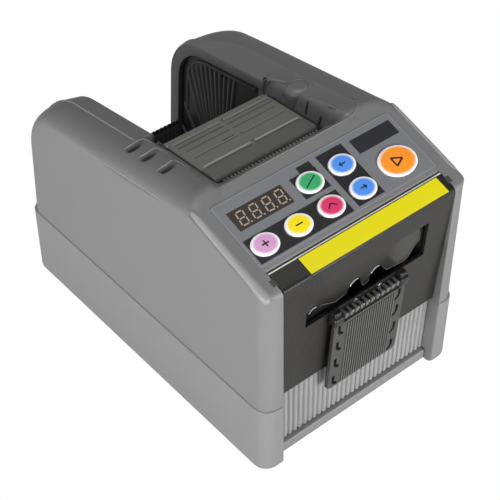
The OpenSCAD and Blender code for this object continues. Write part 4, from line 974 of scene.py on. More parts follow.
def gills(solid):
    """Three curved gills over the left cheek's inner edge: a fine lip in a painted highlight and the scoop in
    front of it, a flat sheet of painted shade.
    """
    for row_y in GILL_ROWS:
        lip = [(x, row_y + ahead) for x, ahead in GILL_LIP]
        foot = [(x, row_y + ahead) for x, ahead in GILL_FOOT]
        solid.look = EDGE_HIGHLIGHT
        solid.tube(on_left_top(lip), GILL_LIP_RADII, sides=8)
        rows = []
        for k in range(11):
            (x0, y0), (x1, y1) = along(lip[:5], k / 10), along(foot, k / 10)
            rows.append(on_left_top([(mix(x0, x1, s / 4), mix(y0, y1, s / 4)) for s in range(5)]))
        # The scoop: a flat sheet of painted shade
        solid.look = SHADE_SHEET
        solid.sheet(rows)
    solid.look = HOUSING_GREY


def wall_lines(solid):
    """A fine line of painted highlight along each side where the shoulder meets the wall, with a narrow band
    of painted shade under it.
    """
    stations = [(y, z) for y, z in EDGE if WALL_LINE_D[0] < y < WALL_LINE_D[1] and z > BEND_H]
    for side in SIDES:
        solid.look = EDGE_HIGHLIGHT
        solid.thread([(side * (UPPER_HALF - 0.15), y, z + 0.4) for y, z in stations], 0.4, 0.1)
        x = side * (UPPER_HALF + 0.05)
        rows = []
        for k, (y, z) in enumerate(stations):
            height = WALL_BAND_H * math.sin(math.pi * k / (len(stations) - 1))
            rows.append([(x, y, z), (x, y, z - height)])
        solid.look = SHADE_SHEET
        solid.sheet(rows)
    solid.look = HOUSING_GREY


def ball(solid, middle, radius, sides=16, rings=8):
    """A small ball."""
    rows = []
    for r in range(rings + 1):
        angle = math.pi * (r + 0.02) / (rings + 0.04)
        reach = radius * math.sin(angle)
        ring = circle_points(middle[0], middle[1], reach, reach, sides)
        rows.append([(x, y, middle[2] + radius * math.cos(angle)) for x, y in ring])
    solid.sheet(rows, closed=True)


PILLAR = (39.7, 98.5, 134.9)
PILLAR_R = 6.5
PILLAR_ROUND = 3.4
CLIP = ((35.4, 117.4, 126.6), (35.5, 116.4, 130.4), (36.0, 114.6, 131.6), (37.4, 109.0, 132.8),
        (38.2, 105.0, 133.2))
CLIP_RADII = (0.5, 1.0, 1.0, 0.9, 0.3)
PIN_BLOCK = ((-39.6, 111.0, 119.0), (-34.2, 119.4, 125.0))
DOTS = ((-36.0, 116.9, 125.0), (-34.3, 111.6, 125.0), (34.6, 122.6, 118.0))
DOT_R = 0.7
RIDGE_LINE = [(37.2, y) for y in (88.0, 84.0, 79.0, 74.0, 69.0, 65.0)]
RIDGE_RADII = (0.2, 0.5, 0.5, 0.5, 0.4, 0.2)
# The slots as dark bars of painted shade: start, end and radius
SLOTS = (((34.3, 86.4, 127.0), (35.9, 86.6, 133.6), 0.6), ((34.2, 76.2, 126.2), (35.6, 75.6, 130.6), 1.0),
         ((35.0, 104.4, 127.4), (36.6, 104.6, 131.4), 0.4))


def bosses(solid):
    """The pillar, clip and ridge on the right side of the hollow, its slots as dark bars of painted shade,
    and the block at the guide's pin.
    """
    x, y, top = PILLAR
    solid.slab(circle_points(x, y, PILLAR_R, PILLAR_R, 40), GUIDE_REAR_H, top, edge=PILLAR_ROUND, steps=8,
               lift=lambda px, py, pz: (px, py, pz - (py - y) * math.tan(CHEEK_TILT)))
    rim = arc_points(x, y, PILLAR_R, 110, -70, 12)
    solid.thread([(px, py, crest_height(px, py) - 0.1) for px, py in rim], 0.5, 0.2)
    solid.tube(CLIP, CLIP_RADII)
    solid.look = DARK_GREY_AND_SHADE
    solid.block(*PIN_BLOCK, edge=0.6)
    solid.look = STEEL
    for dot in DOTS:
        ball(solid, dot, DOT_R)
    solid.look = HOUSING_GREY
    solid.tube(on_valley(RIDGE_LINE, 0.1), RIDGE_RADII, sides=8)
    # Painted shade: dark bars for the slots
    solid.look = DARK_GREY_AND_SHADE
    for start, end, radius in SLOTS:
        solid.tube([start, end], [radius, radius])
    solid.look = HOUSING_GREY


def upper_housing():
    solid = Solid(HOUSING_GREY)
    for side in SIDES:
        solid.sheet(shoulder_rows(side))
        solid.flat([turned_left(EDGE)], lambda y, z: (side * UPPER_HALF, y, z))
        column_side(solid, side)
        cheek_side(solid, side)
    for form in (deck, valley, beads, gills, wall_lines, bosses):
        form(solid)
    solid.finish("upper_housing_look", "housing", "housing_grey", ["upper_housing"], sharp=48)


HINGE_SLOT_X = 55.7
HINGE_SLOT_HALF = 1.5
HINGE_SLOT_UP = (5.2, 9.2)
TOOTH_X = (-30.4, -28.9)
TOOTH_COUNT = 28
TOOTH_PITCH = 2.2


def hinge_slots():
    """The mouths of the cover's hinge in the columns, drawn as black blocks of painted shade."""
    solid = Solid(LINER_BLACK, on_panel)
    for side in SIDES:
        x = side * HINGE_SLOT_X
        low, high = HINGE_SLOT_UP
        solid.block((x - HINGE_SLOT_HALF, low, -3.0), (x + HINGE_SLOT_HALF, high, 0.12), edge=0.4)
    solid.finish("hinge_slots", "housing", "liner_black")


def lip_teeth():
    """The fine teeth along the front of the tape inlet."""
    tooth = Solid(material("teeth_grey", "#6f6f6d", drift=0.06, grain=0.05))
    height = valley_height(0, LIP_D)
    tooth.block((TOOTH_X[0], LIP_D - 1.0, height - 1.6), (TOOTH_X[1], LIP_D + 1.5, height + 0.1), edge=0.4)
    tooth.repeat("inlet_teeth", "housing", "housing_grey", TOOTH_COUNT, TOOTH_PITCH)


upper_housing()
hinge_slots()
lip_teeth()

# Base tray

FOOT_ROUND = 2.5
BASE_STRAIGHT = BODY_W / 2 - CORNER_R
BAY_HALF = 38.0
BAY_LOW = 6.15
BAY_HIGH = 28.15
BAY_MID = (BAY_LOW + BAY_HIGH) / 2
BAY_FLOOR = 199.0
JACK_X = 20.0
JACK_R = 4.0
SWITCH_HALF = (9.0, 6.0)


def base_half(side, depth, z):
    """One half of the base's outline in plan, from a column's inner wall round to the straight rear."""
    inner = recess_half(z)
    plan = [(inner, FLANGE_D), (inner, depth + 1.2), (inner + 0.35, depth + 0.35), (inner + 1.2, depth)]
    for cy, start in ((CORNER_R, -90), (BODY_L - CORNER_R, 0)):
        plan += arc_points(BASE_STRAIGHT, cy, CORNER_R - depth, start, start + 90, 8)
    return [(side * x, y, z) for x, y in plan]


def base_tray():
    solid = Solid(BASE_GREY)
    foot = [(FOOT_ROUND * (1 - math.sin(a)), FOOT_ROUND * (1 - math.cos(a))) for a in quarter(4)]
    seam = [(0.0, SEAM_H - 1.0), (0.12, SEAM_H - 0.5), (0.5, SEAM_H - 0.12), (1.8, SEAM_H - 0.1)]
    for side in SIDES:
        solid.sheet([base_half(side, depth, z) for depth, z in foot + seam])
    for levels in (foot, seam):
        solid.sheet([[(side * BASE_STRAIGHT, BODY_L - depth, z) for side in SIDES] for depth, z in levels])
    face = [(side * BASE_STRAIGHT, FOOT_ROUND) for side in SIDES]
    face += [(-side * BASE_STRAIGHT, SEAM_H - 1) for side in SIDES]
    bay = rounded_rect(-BAY_HALF, BAY_LOW, BAY_HALF, BAY_HIGH, 2.0)
    solid.flat([face, bay], lambda x, z: (x, BODY_L, z))
    solid.sheet([[(x, y, z) for x, z in bay] for y in (BODY_L, BAY_FLOOR)], closed=True)
    jack = circle_points(JACK_X, BAY_MID, JACK_R, JACK_R, 32)
    switch = rounded_rect(-JACK_X - SWITCH_HALF[0], BAY_MID - SWITCH_HALF[1],
                          -JACK_X + SWITCH_HALF[0], BAY_MID + SWITCH_HALF[1], 0.5)
    solid.flat([bay, jack, switch], lambda x, z: (x, BAY_FLOOR, z))
    right, left = ([point[:2] for point in base_half(side, *foot[0])] for side in (RIGHT, LEFT))
    solid.flat([turned_left(right + left[::-1])], lambda x, y: (x, y, 0.0))
    half = recess_half(SILL_H) - 0.05
    solid.block((-half, SILL_D, 0.0), (half, FLANGE_D, SILL_H), edge=1.0)
    solid.finish("base_tray_look", "housing", "housing_grey", ["base_tray"], sharp=48)


# Grooved panel between the columns

GROOVE_PITCH = 3.3
GROOVE_DEPTH = 1.1
GROOVE_STEPS = 14
PANEL_FRONT = 7.9
PANEL_BACK = PANEL_FRONT + 2.0
PANEL_FOOT = SILL_H + 0.4
PANEL_TOP = 53.5


def front_panel():
    solid = Solid(PANEL_GREY)
    half = RECESS_FOOT_HALF
    count = int(2 * half / GROOVE_PITCH * GROOVE_STEPS)
    rows = []
    for z in (PANEL_FOOT, PANEL_TOP):
        row = []
        for k in range(count + 1):
            x = half * (2 * k / count - 1)
            groove = (0.5 + 0.5 * math.cos(math.tau * x / GROOVE_PITCH)) ** 3
            row.append((x * recess_half(z) / half, PANEL_FRONT + GROOVE_DEPTH * groove, z))
        rows.append(row)
    low_back, high_back = ([(x, PANEL_BACK, z) for x, y, z in row] for row in rows)
    solid.sheet(rows + [high_back])
    solid.sheet([low_back, rows[0]])
    solid.finish("front_panel_look", "housing", "panel_grey", ["front_panel"], sharp=60)


base_tray()
front_panel()

# Control panel

KEYS = {"plus": (-45.9, 25.2), "minus": (-25.6, 25.2), "red": (-5.3, 25.2), "green": (-5.3, 41.0),
        "blue_rear": (15.0, 41.0), "blue_front": (15.0, 25.2), "start": (40.6, 28.5)}
KEY_HALF = (7.6, 6.0)
START_HALF = (11.2, 8.8)
KEY_GAP = 0.3
KEY_SIDES = 48
KEY_RING = (1.3, 1.0)
KEY_PALE = 0.35
KEY_PROFILE = ((1.0, -1.0), (1.0, 0.45), (0.985, 0.75), (0.95, 0.95), (0.9, 1.04), (0.6, 1.15), (0.02, 1.2))
KEY_COLOURS = {"plus": ("key_lilac", "#d99fce"), "minus": ("key_yellow", "#fbe20c"),
               "red": ("key_crimson", "#de3269"), "green": ("key_leaf", "#35a866"),
               "blue_rear": ("key_blue", "#4f92f0"), "blue_front": ("key_blue", "#4f92f0"),
               "start": ("key_orange", "#ff9722")}
KEY_SIGNS = {
    "plus": [((-2.1, 0), (2.1, 0), 0.42), ((0, -1.9), (0, 1.9), 0.42)],
    "minus": [((-2.1, 0), (2.1, 0), 0.42)],
    "red": [((-2.6, -1.0), (0, 1.2), 0.4), ((0, 1.2), (2.6, -1.0), 0.4)],
    "green": [((-4.0, -2.0), (4.0, 2.0), 0.3)],
    "blue_rear": [((-1.9, 0), (1.9, 0), 0.35), ((-1.9, 0), (-0.5, 1.1), 0.35),
                  ((-1.9, 0), (-0.5, -1.1), 0.35)],
    "blue_front": [((-1.9, 0), (1.9, 0), 0.35), ((1.9, 0), (0.5, 1.1), 0.35),
                   ((1.9, 0), (0.5, -1.1), 0.35)],
    "start": [((-2.6, -2.6), (-2.6, 2.6), 0.5), ((-2.6, 2.6), (3.0, 0), 0.5), ((3.0, 0), (-2.6, -2.6), 0.5)],
}
DISPLAY = (-34.9, 42.1)
DISPLAY_HALF = (16.3, 5.65)
DIGIT_PITCH = 7.7
DIGIT_SHIFT = 1.2
DIGIT_HALF = (2.0, 3.7)
DIGIT_SLANT = math.tan(math.radians(8))
STROKE_HALF = 0.34
STROKE_GAP = 0.45
POINT_R = 0.42
BORDER_IN = 0.45
BORDER_HALF = 0.25
FILM_PROUD = 0.25
INK = "#1b1b1d"
# Black fields printed under the keys: middle and half sizes
INK_FIELDS = ((-25.7, 24.6, 28.4, 7.1), (-5.4, 40.8, 7.9, 6.5),
              (-2.0, 49.0, 4.2, 2.1), (14.6, 34.6, 8.3, 16.6))
PLAIN_FIELD = (40.4, 45.6, 13.2, 4.4)


def key_half(name):
    return START_HALF if name == "start" else KEY_HALF


def display_outline(gap):
    """The display's window, smaller by a gap all round."""
    (x, up), (half_x, half_up) = DISPLAY, DISPLAY_HALF
    return rounded_rect(x - half_x + gap, up - half_up + gap, x + half_x - gap, up + half_up - gap, 0.1, 1)


def overlay_look():
    """The grey film with a fine border line and dark fields under the keys."""
    look = Look("overlay_film", "#75777a", rough=0.42, drift=0.03, grain=0.02)
    x, up = look.panel_place()
    edge = box_distance(x, up, 0.0, OVERLAY_UP + OVERLAY_L / 2, OVERLAY_W / 2, OVERLAY_L / 2, OVERLAY_R)
    look.print(abs(edge + BORDER_IN) - BORDER_HALF, "#85878b")
    for field in INK_FIELDS:
        look.print(box_distance(x, up, *field), INK)
    look.print(box_distance(x, up, *PLAIN_FIELD), "#242428")
    return look.done()


def control_overlay():
    solid = Solid(overlay_look(), on_panel)
    outer = rounded_rect(-OVERLAY_W / 2, OVERLAY_UP, OVERLAY_W / 2, OVERLAY_UP + OVERLAY_L, OVERLAY_R)
    holes = []
    for name, (x, up) in KEYS.items():
        half_x, half_up = key_half(name)
        holes.append(circle_points(x, up, half_x + KEY_GAP, half_up + KEY_GAP, KEY_SIDES))
    holes.append(display_outline(0.0))
    solid.slab(outer, -OVERLAY_T, FILM_PROUD, holes, edge=0.15, steps=2)
    solid.finish("control_overlay_look", "housing", "overlay_film", ["control_overlay"])


def key_look(name, slot, colour):
    """A key's colour inside a white ring, paler at its edge, with a plain sign."""
    look = Look(slot + "_" + name, "#f2f0f2", rough=0.35, drift=0.02, grain=0.01, coat=0.2)
    x, up = look.panel_place()
    cx, cy = KEYS[name]
    half_x, half_up = key_half(name)
    field = oval_distance(x, up, cx, cy, half_x - KEY_RING[0], half_up - KEY_RING[1])
    look.colour = look.blend(field.inside(0.5), look.colour, moved_to(srgb(colour), 1.0, KEY_PALE))
    look.print(field + 0.55, colour, soft=0.7)
    for start, end, half in KEY_SIGNS[name]:
        mark = bar_distance(x, up, (cx + start[0], cy + start[1]), (cx + end[0], cy + end[1]), half)
        look.print(mark, INK, soft=0.12)
    return look.done()


def key_cap(name):
    slot, colour = KEY_COLOURS[name]
    solid = Solid(key_look(name, slot, colour), on_panel)
    x, up = KEYS[name]
    half_x, half_up = key_half(name)
    rings = []
    for scale, out in KEY_PROFILE:
        ring = circle_points(x, up, half_x * scale, half_up * scale, KEY_SIDES)
        rings.append([(px, py, out) for px, py in ring])
    solid.bar(rings)
    solid.finish("key_" + name + "_look", "key_" + name, slot, ["key_" + name])


def display_look():
    """Four unlit digits and their points behind a dark window."""
    look = Look("display_smoke", "#3b3531", rough=0.25, drift=0.05, grain=0.01, coat=0.3)
    x, up = look.panel_place()
    up = up - DISPLAY[1]
    x = x - DISPLAY[0] - DIGIT_SHIFT - up * DIGIT_SLANT + 2 * DIGIT_PITCH
    window = abs(x - 2 * DIGIT_PITCH) - 2 * DIGIT_PITCH
    x = x.over(DIGIT_PITCH) - DIGIT_PITCH / 2 + 0.5
    half_x, half_up = DIGIT_HALF
    nearest = oval_distance(x, up, half_x + 1.3, -half_up, POINT_R, POINT_R)
    bars = [((-half_x + 0.5, level), (half_x - 0.5, level)) for level in (-half_up, 0.0, half_up)]
    for side in (-half_x, half_x):
        bars.append(((side, -half_up + STROKE_GAP), (side, -STROKE_GAP)))
        bars.append(((side, STROKE_GAP), (side, half_up - STROKE_GAP)))
    for start, end in bars:
        nearest = nearest.least(bar_distance(x, up, start, end, STROKE_HALF))
    look.print(nearest.most(window), "#b3a494", soft=0.12)
    return look.done()


def display_lens():
    solid = Solid(display_look(), on_panel)
    solid.slab(display_outline(0.02), -OVERLAY_T, FILM_PROUD - 0.1, edge=0.1, steps=1)
    solid.finish("display_lens_look", "housing", "display_smoke", ["display_lens"])


control_overlay()
display_lens()
for key_name in KEYS:
    key_cap(key_name)

# Smoked cover, its strip and lip

OUTLET_HALF = 39.0
OUTLET_LOW = 86.4
OUTLET_HIGH = 108.2
BEND_R = 2.4
SMOKE_FINISH = {"rough": 0.36, "drift": 0.05, "coat": 0.05, "specular": 0.35}
STRIP = (-38.0, 1.2, 51.0, 11.4)
WAVE_PITCH = 1.1
WAVE_FADE = (-20.0, -32.0)
COVER_EDGE_HIGHLIGHT = 0.85
LIP_FADE = (15.0, 23.0)


def cover_look():
    """Dark smoked plastic: fine upright waves on its left part, and a painted highlight along its upper edge.
    """
    look = Look("cover_smoke", "#201f1d", grain=0.02, **SMOKE_FINISH)
    x = look.axis(ALONG_X)
    wave = (x * (math.tau / WAVE_PITCH)).math("SINE")
    look.raise_by(wave * x.ramp(*WAVE_FADE) * 0.35 + look.fine * 0.05, 0.5)
    up = look.axis(PANEL_UP, on_panel(0, 0, 0))
    # Painted highlight along the cover's upper edge
    look.print(-(up - (COVER_RISE - COVER_EDGE_HIGHLIGHT)), "#d8d8d6")
    return look.done()


def front_cover():
    solid = Solid(cover_look())
    low = cover_up(COVER_FOOT_H)
    turn = math.pi / 2 - PANEL_TILT + COVER_LEAN
    bend = -BEND_R * math.tan(turn / 2)

    def half_at(z):
        return recess_half(min(z, COLUMN_TOP)) - COVER_GAP

    def section(up, inward):
        return Vector(in_cover(0, up, inward)[1:])

    def across(point):
        return [(side * half_at(point.y), point.x, point.y) for side in SIDES]

    low_half, high_half = (recess_half(in_cover(0, up, 0)[2]) - COVER_GAP for up in (low, bend))
    face = [(-low_half, low), (low_half, low), (high_half, bend), (-high_half, bend)]
    outlet = rounded_rect(-OUTLET_HALF, cover_up(OUTLET_LOW), OUTLET_HALF, cover_up(OUTLET_HIGH), 0.8)
    for depth in (0.0, COVER_T):
        solid.flat([face, outlet], lambda x, up: in_cover(x, up, depth))
    solid.sheet([[in_cover(x, up, depth) for x, up in outlet] for depth in (0.0, COVER_T)], closed=True)
    centre = section(bend, BEND_R)
    first = section(bend, 0) - centre
    path = [section(low, 0), section(bend, 0)]
    path += [centre + Matrix.Rotation(-turn * k / 6, 2) @ first for k in range(1, 7)]
    top = [(COVER_RISE - 0.3, 0), (COVER_RISE, -0.3), (COVER_RISE, -COVER_T)]
    path += [Vector(on_panel(0, up, out)[1:]) for up, out in top]
    solid.sheet([across(point) for point in path[1:]])
    inner = [section(low, COVER_T), section(-COVER_T, COVER_T)]
    solid.sheet([across(inner[1]), across(path[-1])])
    for end in SIDES:
        ring = [tuple(point) for point in path + inner[::-1]]
        solid.flat([ring], lambda y, z: (end * half_at(z), y, z))
    solid.sheet([across(path[0]), across(inner[0])])
    solid.finish("front_cover_look", "cover", "cover_smoke", ["front_cover"], sharp=35)


def cover_strip():
    """The bare yellow strip, with a dark cut edge."""
    x0, low, x1, high = STRIP
    look = Look("strip_yellow", "#e3d800", rough=0.4, drift=0.02, grain=0.01)
    x, up = look.panel_place()
    edge = box_distance(x, up, (x0 + x1) / 2, (low + high) / 2, (x1 - x0) / 2, (high - low) / 2)
    look.print(-(edge + 0.3), "#2a2a20")
    solid = Solid(look.done(), on_panel)
    solid.slab(rounded_rect(*STRIP, 0.2, 2), 0.02, 0.3, edge=0.1, steps=1)
    solid.finish("cover_strip_look", "cover", "strip_yellow", ["cover_strip"])


LIP_TOP = cover_up(OUTLET_HIGH) + 4.0
LIP_HALF = OUTLET_HALF + 4
# The lip's lower edge: each round cut (across, up, radius) with the points that follow it
LIP_CUTS = (
    (-32.4, -30.2, 3.2, [(-27.9, -28.0), (-18.8, -32.2), (-10.6, -31.0)]),
    (-5.9, -28.6, 3.7, [(-0.4, -32.8), (3.8, -31.6)]),
    (7.8, -28.6, 3.7, [(15.0, -31.8), (27.6, -33.4), (29.6, -32.0), (33.5, -26.2), (36.4, -24.0),
                       (35.4, -14.4)]),
)


def lip_look():
    """Clear plastic before the dark inside, paler towards its right end."""
    look = Look("lip_clear", "#1e1d1b", grain=0.01, **SMOKE_FINISH)
    look.lay(look.axis(ALONG_X).ramp(*LIP_FADE), "#34332f")
    return look.done()


def outlet_lip():
    """The clear lip behind the outlet: three round cuts along its lower edge, each with a bright painted
    highlight on its arc and a dimmer painted highlight along the edge after it, and a turned-up right end.
    """
    clear = lip_look()
    # Painted highlights: a bright one on each cut's arc, a dim one along the lower edge
    lip_highlight = material("lip_edge_highlight", "#a6a6a1", rough=0.2, drift=0.04, grain=0.01, coat=0.3)
    dim = material("lip_line_highlight", "#55554f", rough=0.3, drift=0.04, grain=0.01, coat=0.1)
    solid = Solid(clear, in_cover)
    outline = [(LIP_HALF, LIP_TOP), (-LIP_HALF, LIP_TOP), (-LIP_HALF, -27.6)]
    for x, up, radius, after in LIP_CUTS:
        cut = arc_points(x, up, radius, 150, 30, 10)
        outline += cut + after
        solid.look = dim
        solid.thread([(px, pu, COVER_T - 0.05) for px, pu in cut[-1:] + after], 0.22, 0.05)
        solid.look = lip_highlight
        solid.thread([(px, pu, COVER_T - 0.1) for px, pu in arc_points(x, up, radius, 165, 60, 10)], 0.3, 0.1)
    solid.look = clear
    outline.append((LIP_HALF, -14.4))
    solid.slab(outline, COVER_T + 1.6, COVER_T, edge=0.5, steps=2)
    solid.finish("outlet_lip_look", "cover", "lip_clear", ["outlet_lip"])


front_cover()
cover_strip()
outlet_lip()

# Tape tray on the cover, in the cover's frame: across, up from the bend, inward

TRAY_HALF = 23.5
TRAY_L = 51.0
TRAY_T = 2.2
TRAY_DROP = 38.3
TRAY_BACK_T = 0.65
HINGE_IN = -3.35
KNUCKLE_D = 4.0
KNUCKLE_X = TRAY_HALF - 2.0
TRAY_RIB_X = (-14.8, -13.9)
TRAY_RIB_PITCH = 1.6
TRAY_RIBS = 20
RIBBED_MID = 0.8
RIBBED_HALF = 16.0
HOOK_UPS = (-46.6, -58.4, -71.2, -84.4)
HOOK_X = 20.0
HOOK_W = 1.7
HOOK_R = 2.8
HOOK_L = 3.6
BAR_HALF = 18.2
BAR_GROOVE = 1.5
# Each block at the bracket's ends: half width, low, high, out, edge radius, steps
BRACKET_BLOCKS = ((3.0, -3.2, 2.6, 2.4, 1.4, 4), (2.2, 1.0, 5.4, 1.2, 1.0, 3))
BRACKET_TEETH = 11
BRACKET_PITCH = 3.4
BRACKET_TOOTH_X = (-17.8, -15.9)
BRACKET_BLACK = material("bracket_black", "#1b1b1c", rough=0.28, drift=0.1, grain=0.03)
# The teeth: the bracket's black made lighter, a painted highlight
TEETH_HIGHLIGHT_BLACK = material("teeth_black_highlight", "#5a5a58", rough=0.36, drift=0.1, grain=0.03)


def tray_look():
    """Black moulding, lighter where it is ribbed, with painted shade in the grooves between the ribs."""
    look = Look("tray_face", "#383837", rough=0.36, drift=0.08, grain=0.03)
    x = look.axis(ALONG_X)
    ribbed = abs(x - RIBBED_MID) - RIBBED_HALF
    look.print(ribbed, "#525250", soft=0.2)
    # Painted shade in the grooves between the ribs
    phase = (x - sum(TRAY_RIB_X) / 2 + TRAY_RIB_PITCH / 2).over(TRAY_RIB_PITCH)
    groove = -(abs(phase - TRAY_RIB_PITCH / 2) - 0.45)
    look.print(groove.most(ribbed), "#343433", soft=0.2)
    return look.done()


def hook_outline(side, up):
    """A hook-shaped pocket beside the ribs: straight down, then round towards the tray's middle."""
    points = [(-HOOK_W / 2, HOOK_L)]
    points += arc_points(HOOK_R, 0, HOOK_R + HOOK_W / 2, 180, 270, 5)
    points += arc_points(HOOK_R, 0, HOOK_R - HOOK_W / 2, 270, 180, 5)
    points.append((HOOK_W / 2, HOOK_L))
    return [(side * (HOOK_X - x), up + y) for x, y in points]


def tape_tray():
    face = tray_look()
    solid = Solid(face, in_cover)
    top = -TRAY_DROP - KNUCKLE_D
    low = -TRAY_DROP - TRAY_L
    front, back = HINGE_IN - TRAY_T / 2, HINGE_IN + TRAY_T / 2
    outer = rounded_rect(-TRAY_HALF, low, TRAY_HALF, top, 2.0, 4)
    hooks = [hook_outline(side, up) for side in SIDES for up in HOOK_UPS]
    solid.slab(outer, back - TRAY_BACK_T + 0.05, front, hooks, edge=0.3, steps=2)
    solid.look = BRACKET_BLACK
    solid.slab(outer, back - TRAY_BACK_T, back)
    solid.block((-BAR_HALF, top - 1.0, back - TRAY_BACK_T), (BAR_HALF, top + 2.0, back + 0.1), edge=0.1)
    solid.block((-BAR_HALF, top + BAR_GROOVE, HINGE_IN - 0.7),
                (BAR_HALF, -TRAY_DROP + 1.5, HINGE_IN + 1.4), edge=0.6)
    solid.finish("tape_tray_look", "tray", "tray_black", ["tape_tray"])
    rib = Solid(face, in_cover)
    rib.block((TRAY_RIB_X[0], low + 1.0, front - 0.5), (TRAY_RIB_X[1], top - 1.2, HINGE_IN), edge=0.3)
    rib.repeat("tray_ribs", "tray", "tray_black", TRAY_RIBS, TRAY_RIB_PITCH)


def tray_bracket():
    """The bracket's plate with two rounded blocks at each end, and the teeth between them, whose lighter
    black is a painted highlight.
    """
    solid = Solid(BRACKET_BLACK, in_cover)
    plate = rounded_rect(-TRAY_HALF, -TRAY_DROP - 2, TRAY_HALF, -TRAY_DROP + 4.6, 1.0, 3)
    solid.slab(plate, 0.0, -1.0, edge=0.3)
    for side in SIDES:
        x = side * KNUCKLE_X
        for half, low, high, out, edge, steps in BRACKET_BLOCKS:
            solid.block((x - half, -TRAY_DROP + low, HINGE_IN - out),
                        (x + half, -TRAY_DROP + high, -0.5), edge, steps)
    solid.finish("tray_bracket_look", "cover", "tray_black", ["tray_bracket"])
    tooth = Solid(TEETH_HIGHLIGHT_BLACK, in_cover)
    first, last = BRACKET_TOOTH_X
    tooth.block((first, -TRAY_DROP - 0.6, HINGE_IN - 1.9), (last, -TRAY_DROP + 2.4, -0.8), edge=0.6, steps=3)
    tooth.repeat("bracket_teeth", "cover", "tray_black", BRACKET_TEETH, BRACKET_PITCH)


tape_tray()
tray_bracket()

# Tape guide

NOSE_D = 75.4
NOSE_R = 2.6
GUIDE_PIN = (116.5, 120.6)
GUIDE_KNUCKLE_R = 1.9
GUIDE_TOP_DS = (86.0, 95.0, 104.0, 112.0)
GUIDE_END_D = 114.6
GUIDE_UNDER_L = 32.0
# Each row of ribs: depth, radius, outer end and the painted highlight on its lit side
RIB_ROWS = ((87.6, 1.5, 31.0, "#b4b4b0"), (97.5, 0.9, 30.0, "#92928e"), (104.0, 0.5, 29.0, "#6c6c69"),
            (108.6, 0.7, 31.0, "#6c6c69"), (112.4, 1.2, 31.5, "#989894"))
# Painted shade on the guide ahead of this depth, and a short dark mark of painted shade for a small slot:
# middle and half sizes
GUIDE_SHADE_D = 86.4
GUIDE_MARK = (-6.0, 98.6, 4.0, 0.5)
GUIDE_ENDS = ((0.0, 1.0), (0.1, 0.4), (0.5, 0.1), (1.2, 0.0))


def ridge_look():
    """The guide's ribs: a painted highlight on the lit side of each and a painted shadow line behind it."""
    look = Look("guide_ridge", "#747471", rough=0.3, drift=0.04, grain=0.02)
    y = look.axis(ALONG_Y)
    for row_y, radius, half, highlight in RIB_ROWS:
        look.print(abs(y - (row_y - radius * 0.3)) - radius * 0.35, highlight, soft=0.5)
        look.print(abs(y - (row_y + radius * 0.9)) - radius * 0.25, "#30302e", soft=0.2)
    return look.done()


def guide_look():
    """The guide's grey, with painted shade before its first ribs and one short dark mark of painted shade for
    a small slot.
    """
    look = Look("guide_grey", "#7c7c78", rough=0.42, drift=0.04)
    y = look.axis(ALONG_Y)
    look.print(y - GUIDE_SHADE_D, "#6b6c68", soft=1.0)
    look.print(box_distance(look.axis(ALONG_X), y, *GUIDE_MARK), "#2c2c2b")
    return look.done()


def tape_guide():
    solid = Solid(guide_look())
    nose_z = guide_z(NOSE_D)
    under_d = GUIDE_D + GUIDE_UNDER_L
    profile = [(NOSE_D + 0.2, nose_z - GUIDE_T)]
    profile += arc_points(NOSE_D + NOSE_R, nose_z - NOSE_R, NOSE_R, 180, 90, 6)
    profile += [(y, guide_z(y)) for y in GUIDE_TOP_DS] + [(GUIDE_END_D, guide_z(GUIDE_END_D) - 0.3)]
    profile += arc_points(*GUIDE_PIN, GUIDE_KNUCKLE_R, 90, -86, 8)
    profile.append((under_d, guide_z(under_d) - GUIDE_T))
    stations = [(-GUIDE_HALF + x, depth) for x, depth in GUIDE_ENDS]
    stations += [(-x, depth) for x, depth in reversed(stations)]
    solid.bar([[(x, y, z) for y, z in inset(turned_left(profile), depth)] for x, depth in stations])
    solid.look = ridge_look()
    for y, radius, half, highlight in RIB_ROWS:
        z = guide_z(y) - radius * 0.25
        for side in SIDES:
            path = [(side * x, y, z) for x in (1.0, 1.4, half - 1.2, half)]
            solid.tube(path, [radius * 0.4, radius, radius, radius * 0.4])
    solid.finish("tape_guide_look", "guide", "guide_grey", ["tape_guide"], sharp=50)


tape_guide()

# Black liner of the tape well

LINER_HALF = 36.2
LINER_END_HALF = 33.8
LINER_T = 2.0
LINER_D = 120.2
LINER_FLOOR = 33.0
LINER_FRONT_H = 112.0
LINER_REAR_H = 58.0
SLOT_D = (150.5, 157.5)
SLOT_LOW = 88.0
FAN_COUNT = 13
FAN_REAR = 195.0
FAN_PITCH = 4.2
FAN_APEX = (158.0, 16.0)
FAN_SHARES = (0.0, 0.04, 0.3, 0.55)
FAN_RADII = (0.4, 1.5, 1.5, 1.2)
FAN_BAND = RIM_W + 4.5
FAN_BAND_D = 126.0
FAN_BAND_LOW = 62.0
LINER_LAP = 2.0
REAR_RIBS = 24
REAR_RIB_X = 32.8
REAR_RIB_R = 1.1
# The fan: the liner's black lifted to mid grey, painted light in the shaded well
FAN_LIFTED_BLACK = material("fan_black_lifted", "#6a6c6b", drift=0.1)


def liner_outline():
    """The side wall's outline: a little outside the window in the cheek."""
    inside = [point for point in arch(RIM_W - LINER_LAP) if point[0] > LINER_D]
    low = LINER_FLOOR - LINER_T
    return [(LINER_D, inside[0][1])] + inside + [(inside[-1][0], low), (LINER_D, low)]


def comb_look():
    """The rear wall and its ribs: the liner's black lifted to grey as painted light in the shaded well, and
    darker along the top.
    """
    look = Look("comb_black_lifted", "#8c8e8d", drift=0.05)
    look.print(-(look.axis(ALONG_Z) - LINER_REAR_H + 0.8), "#2c2e2d", soft=1.0)
    return look.done()


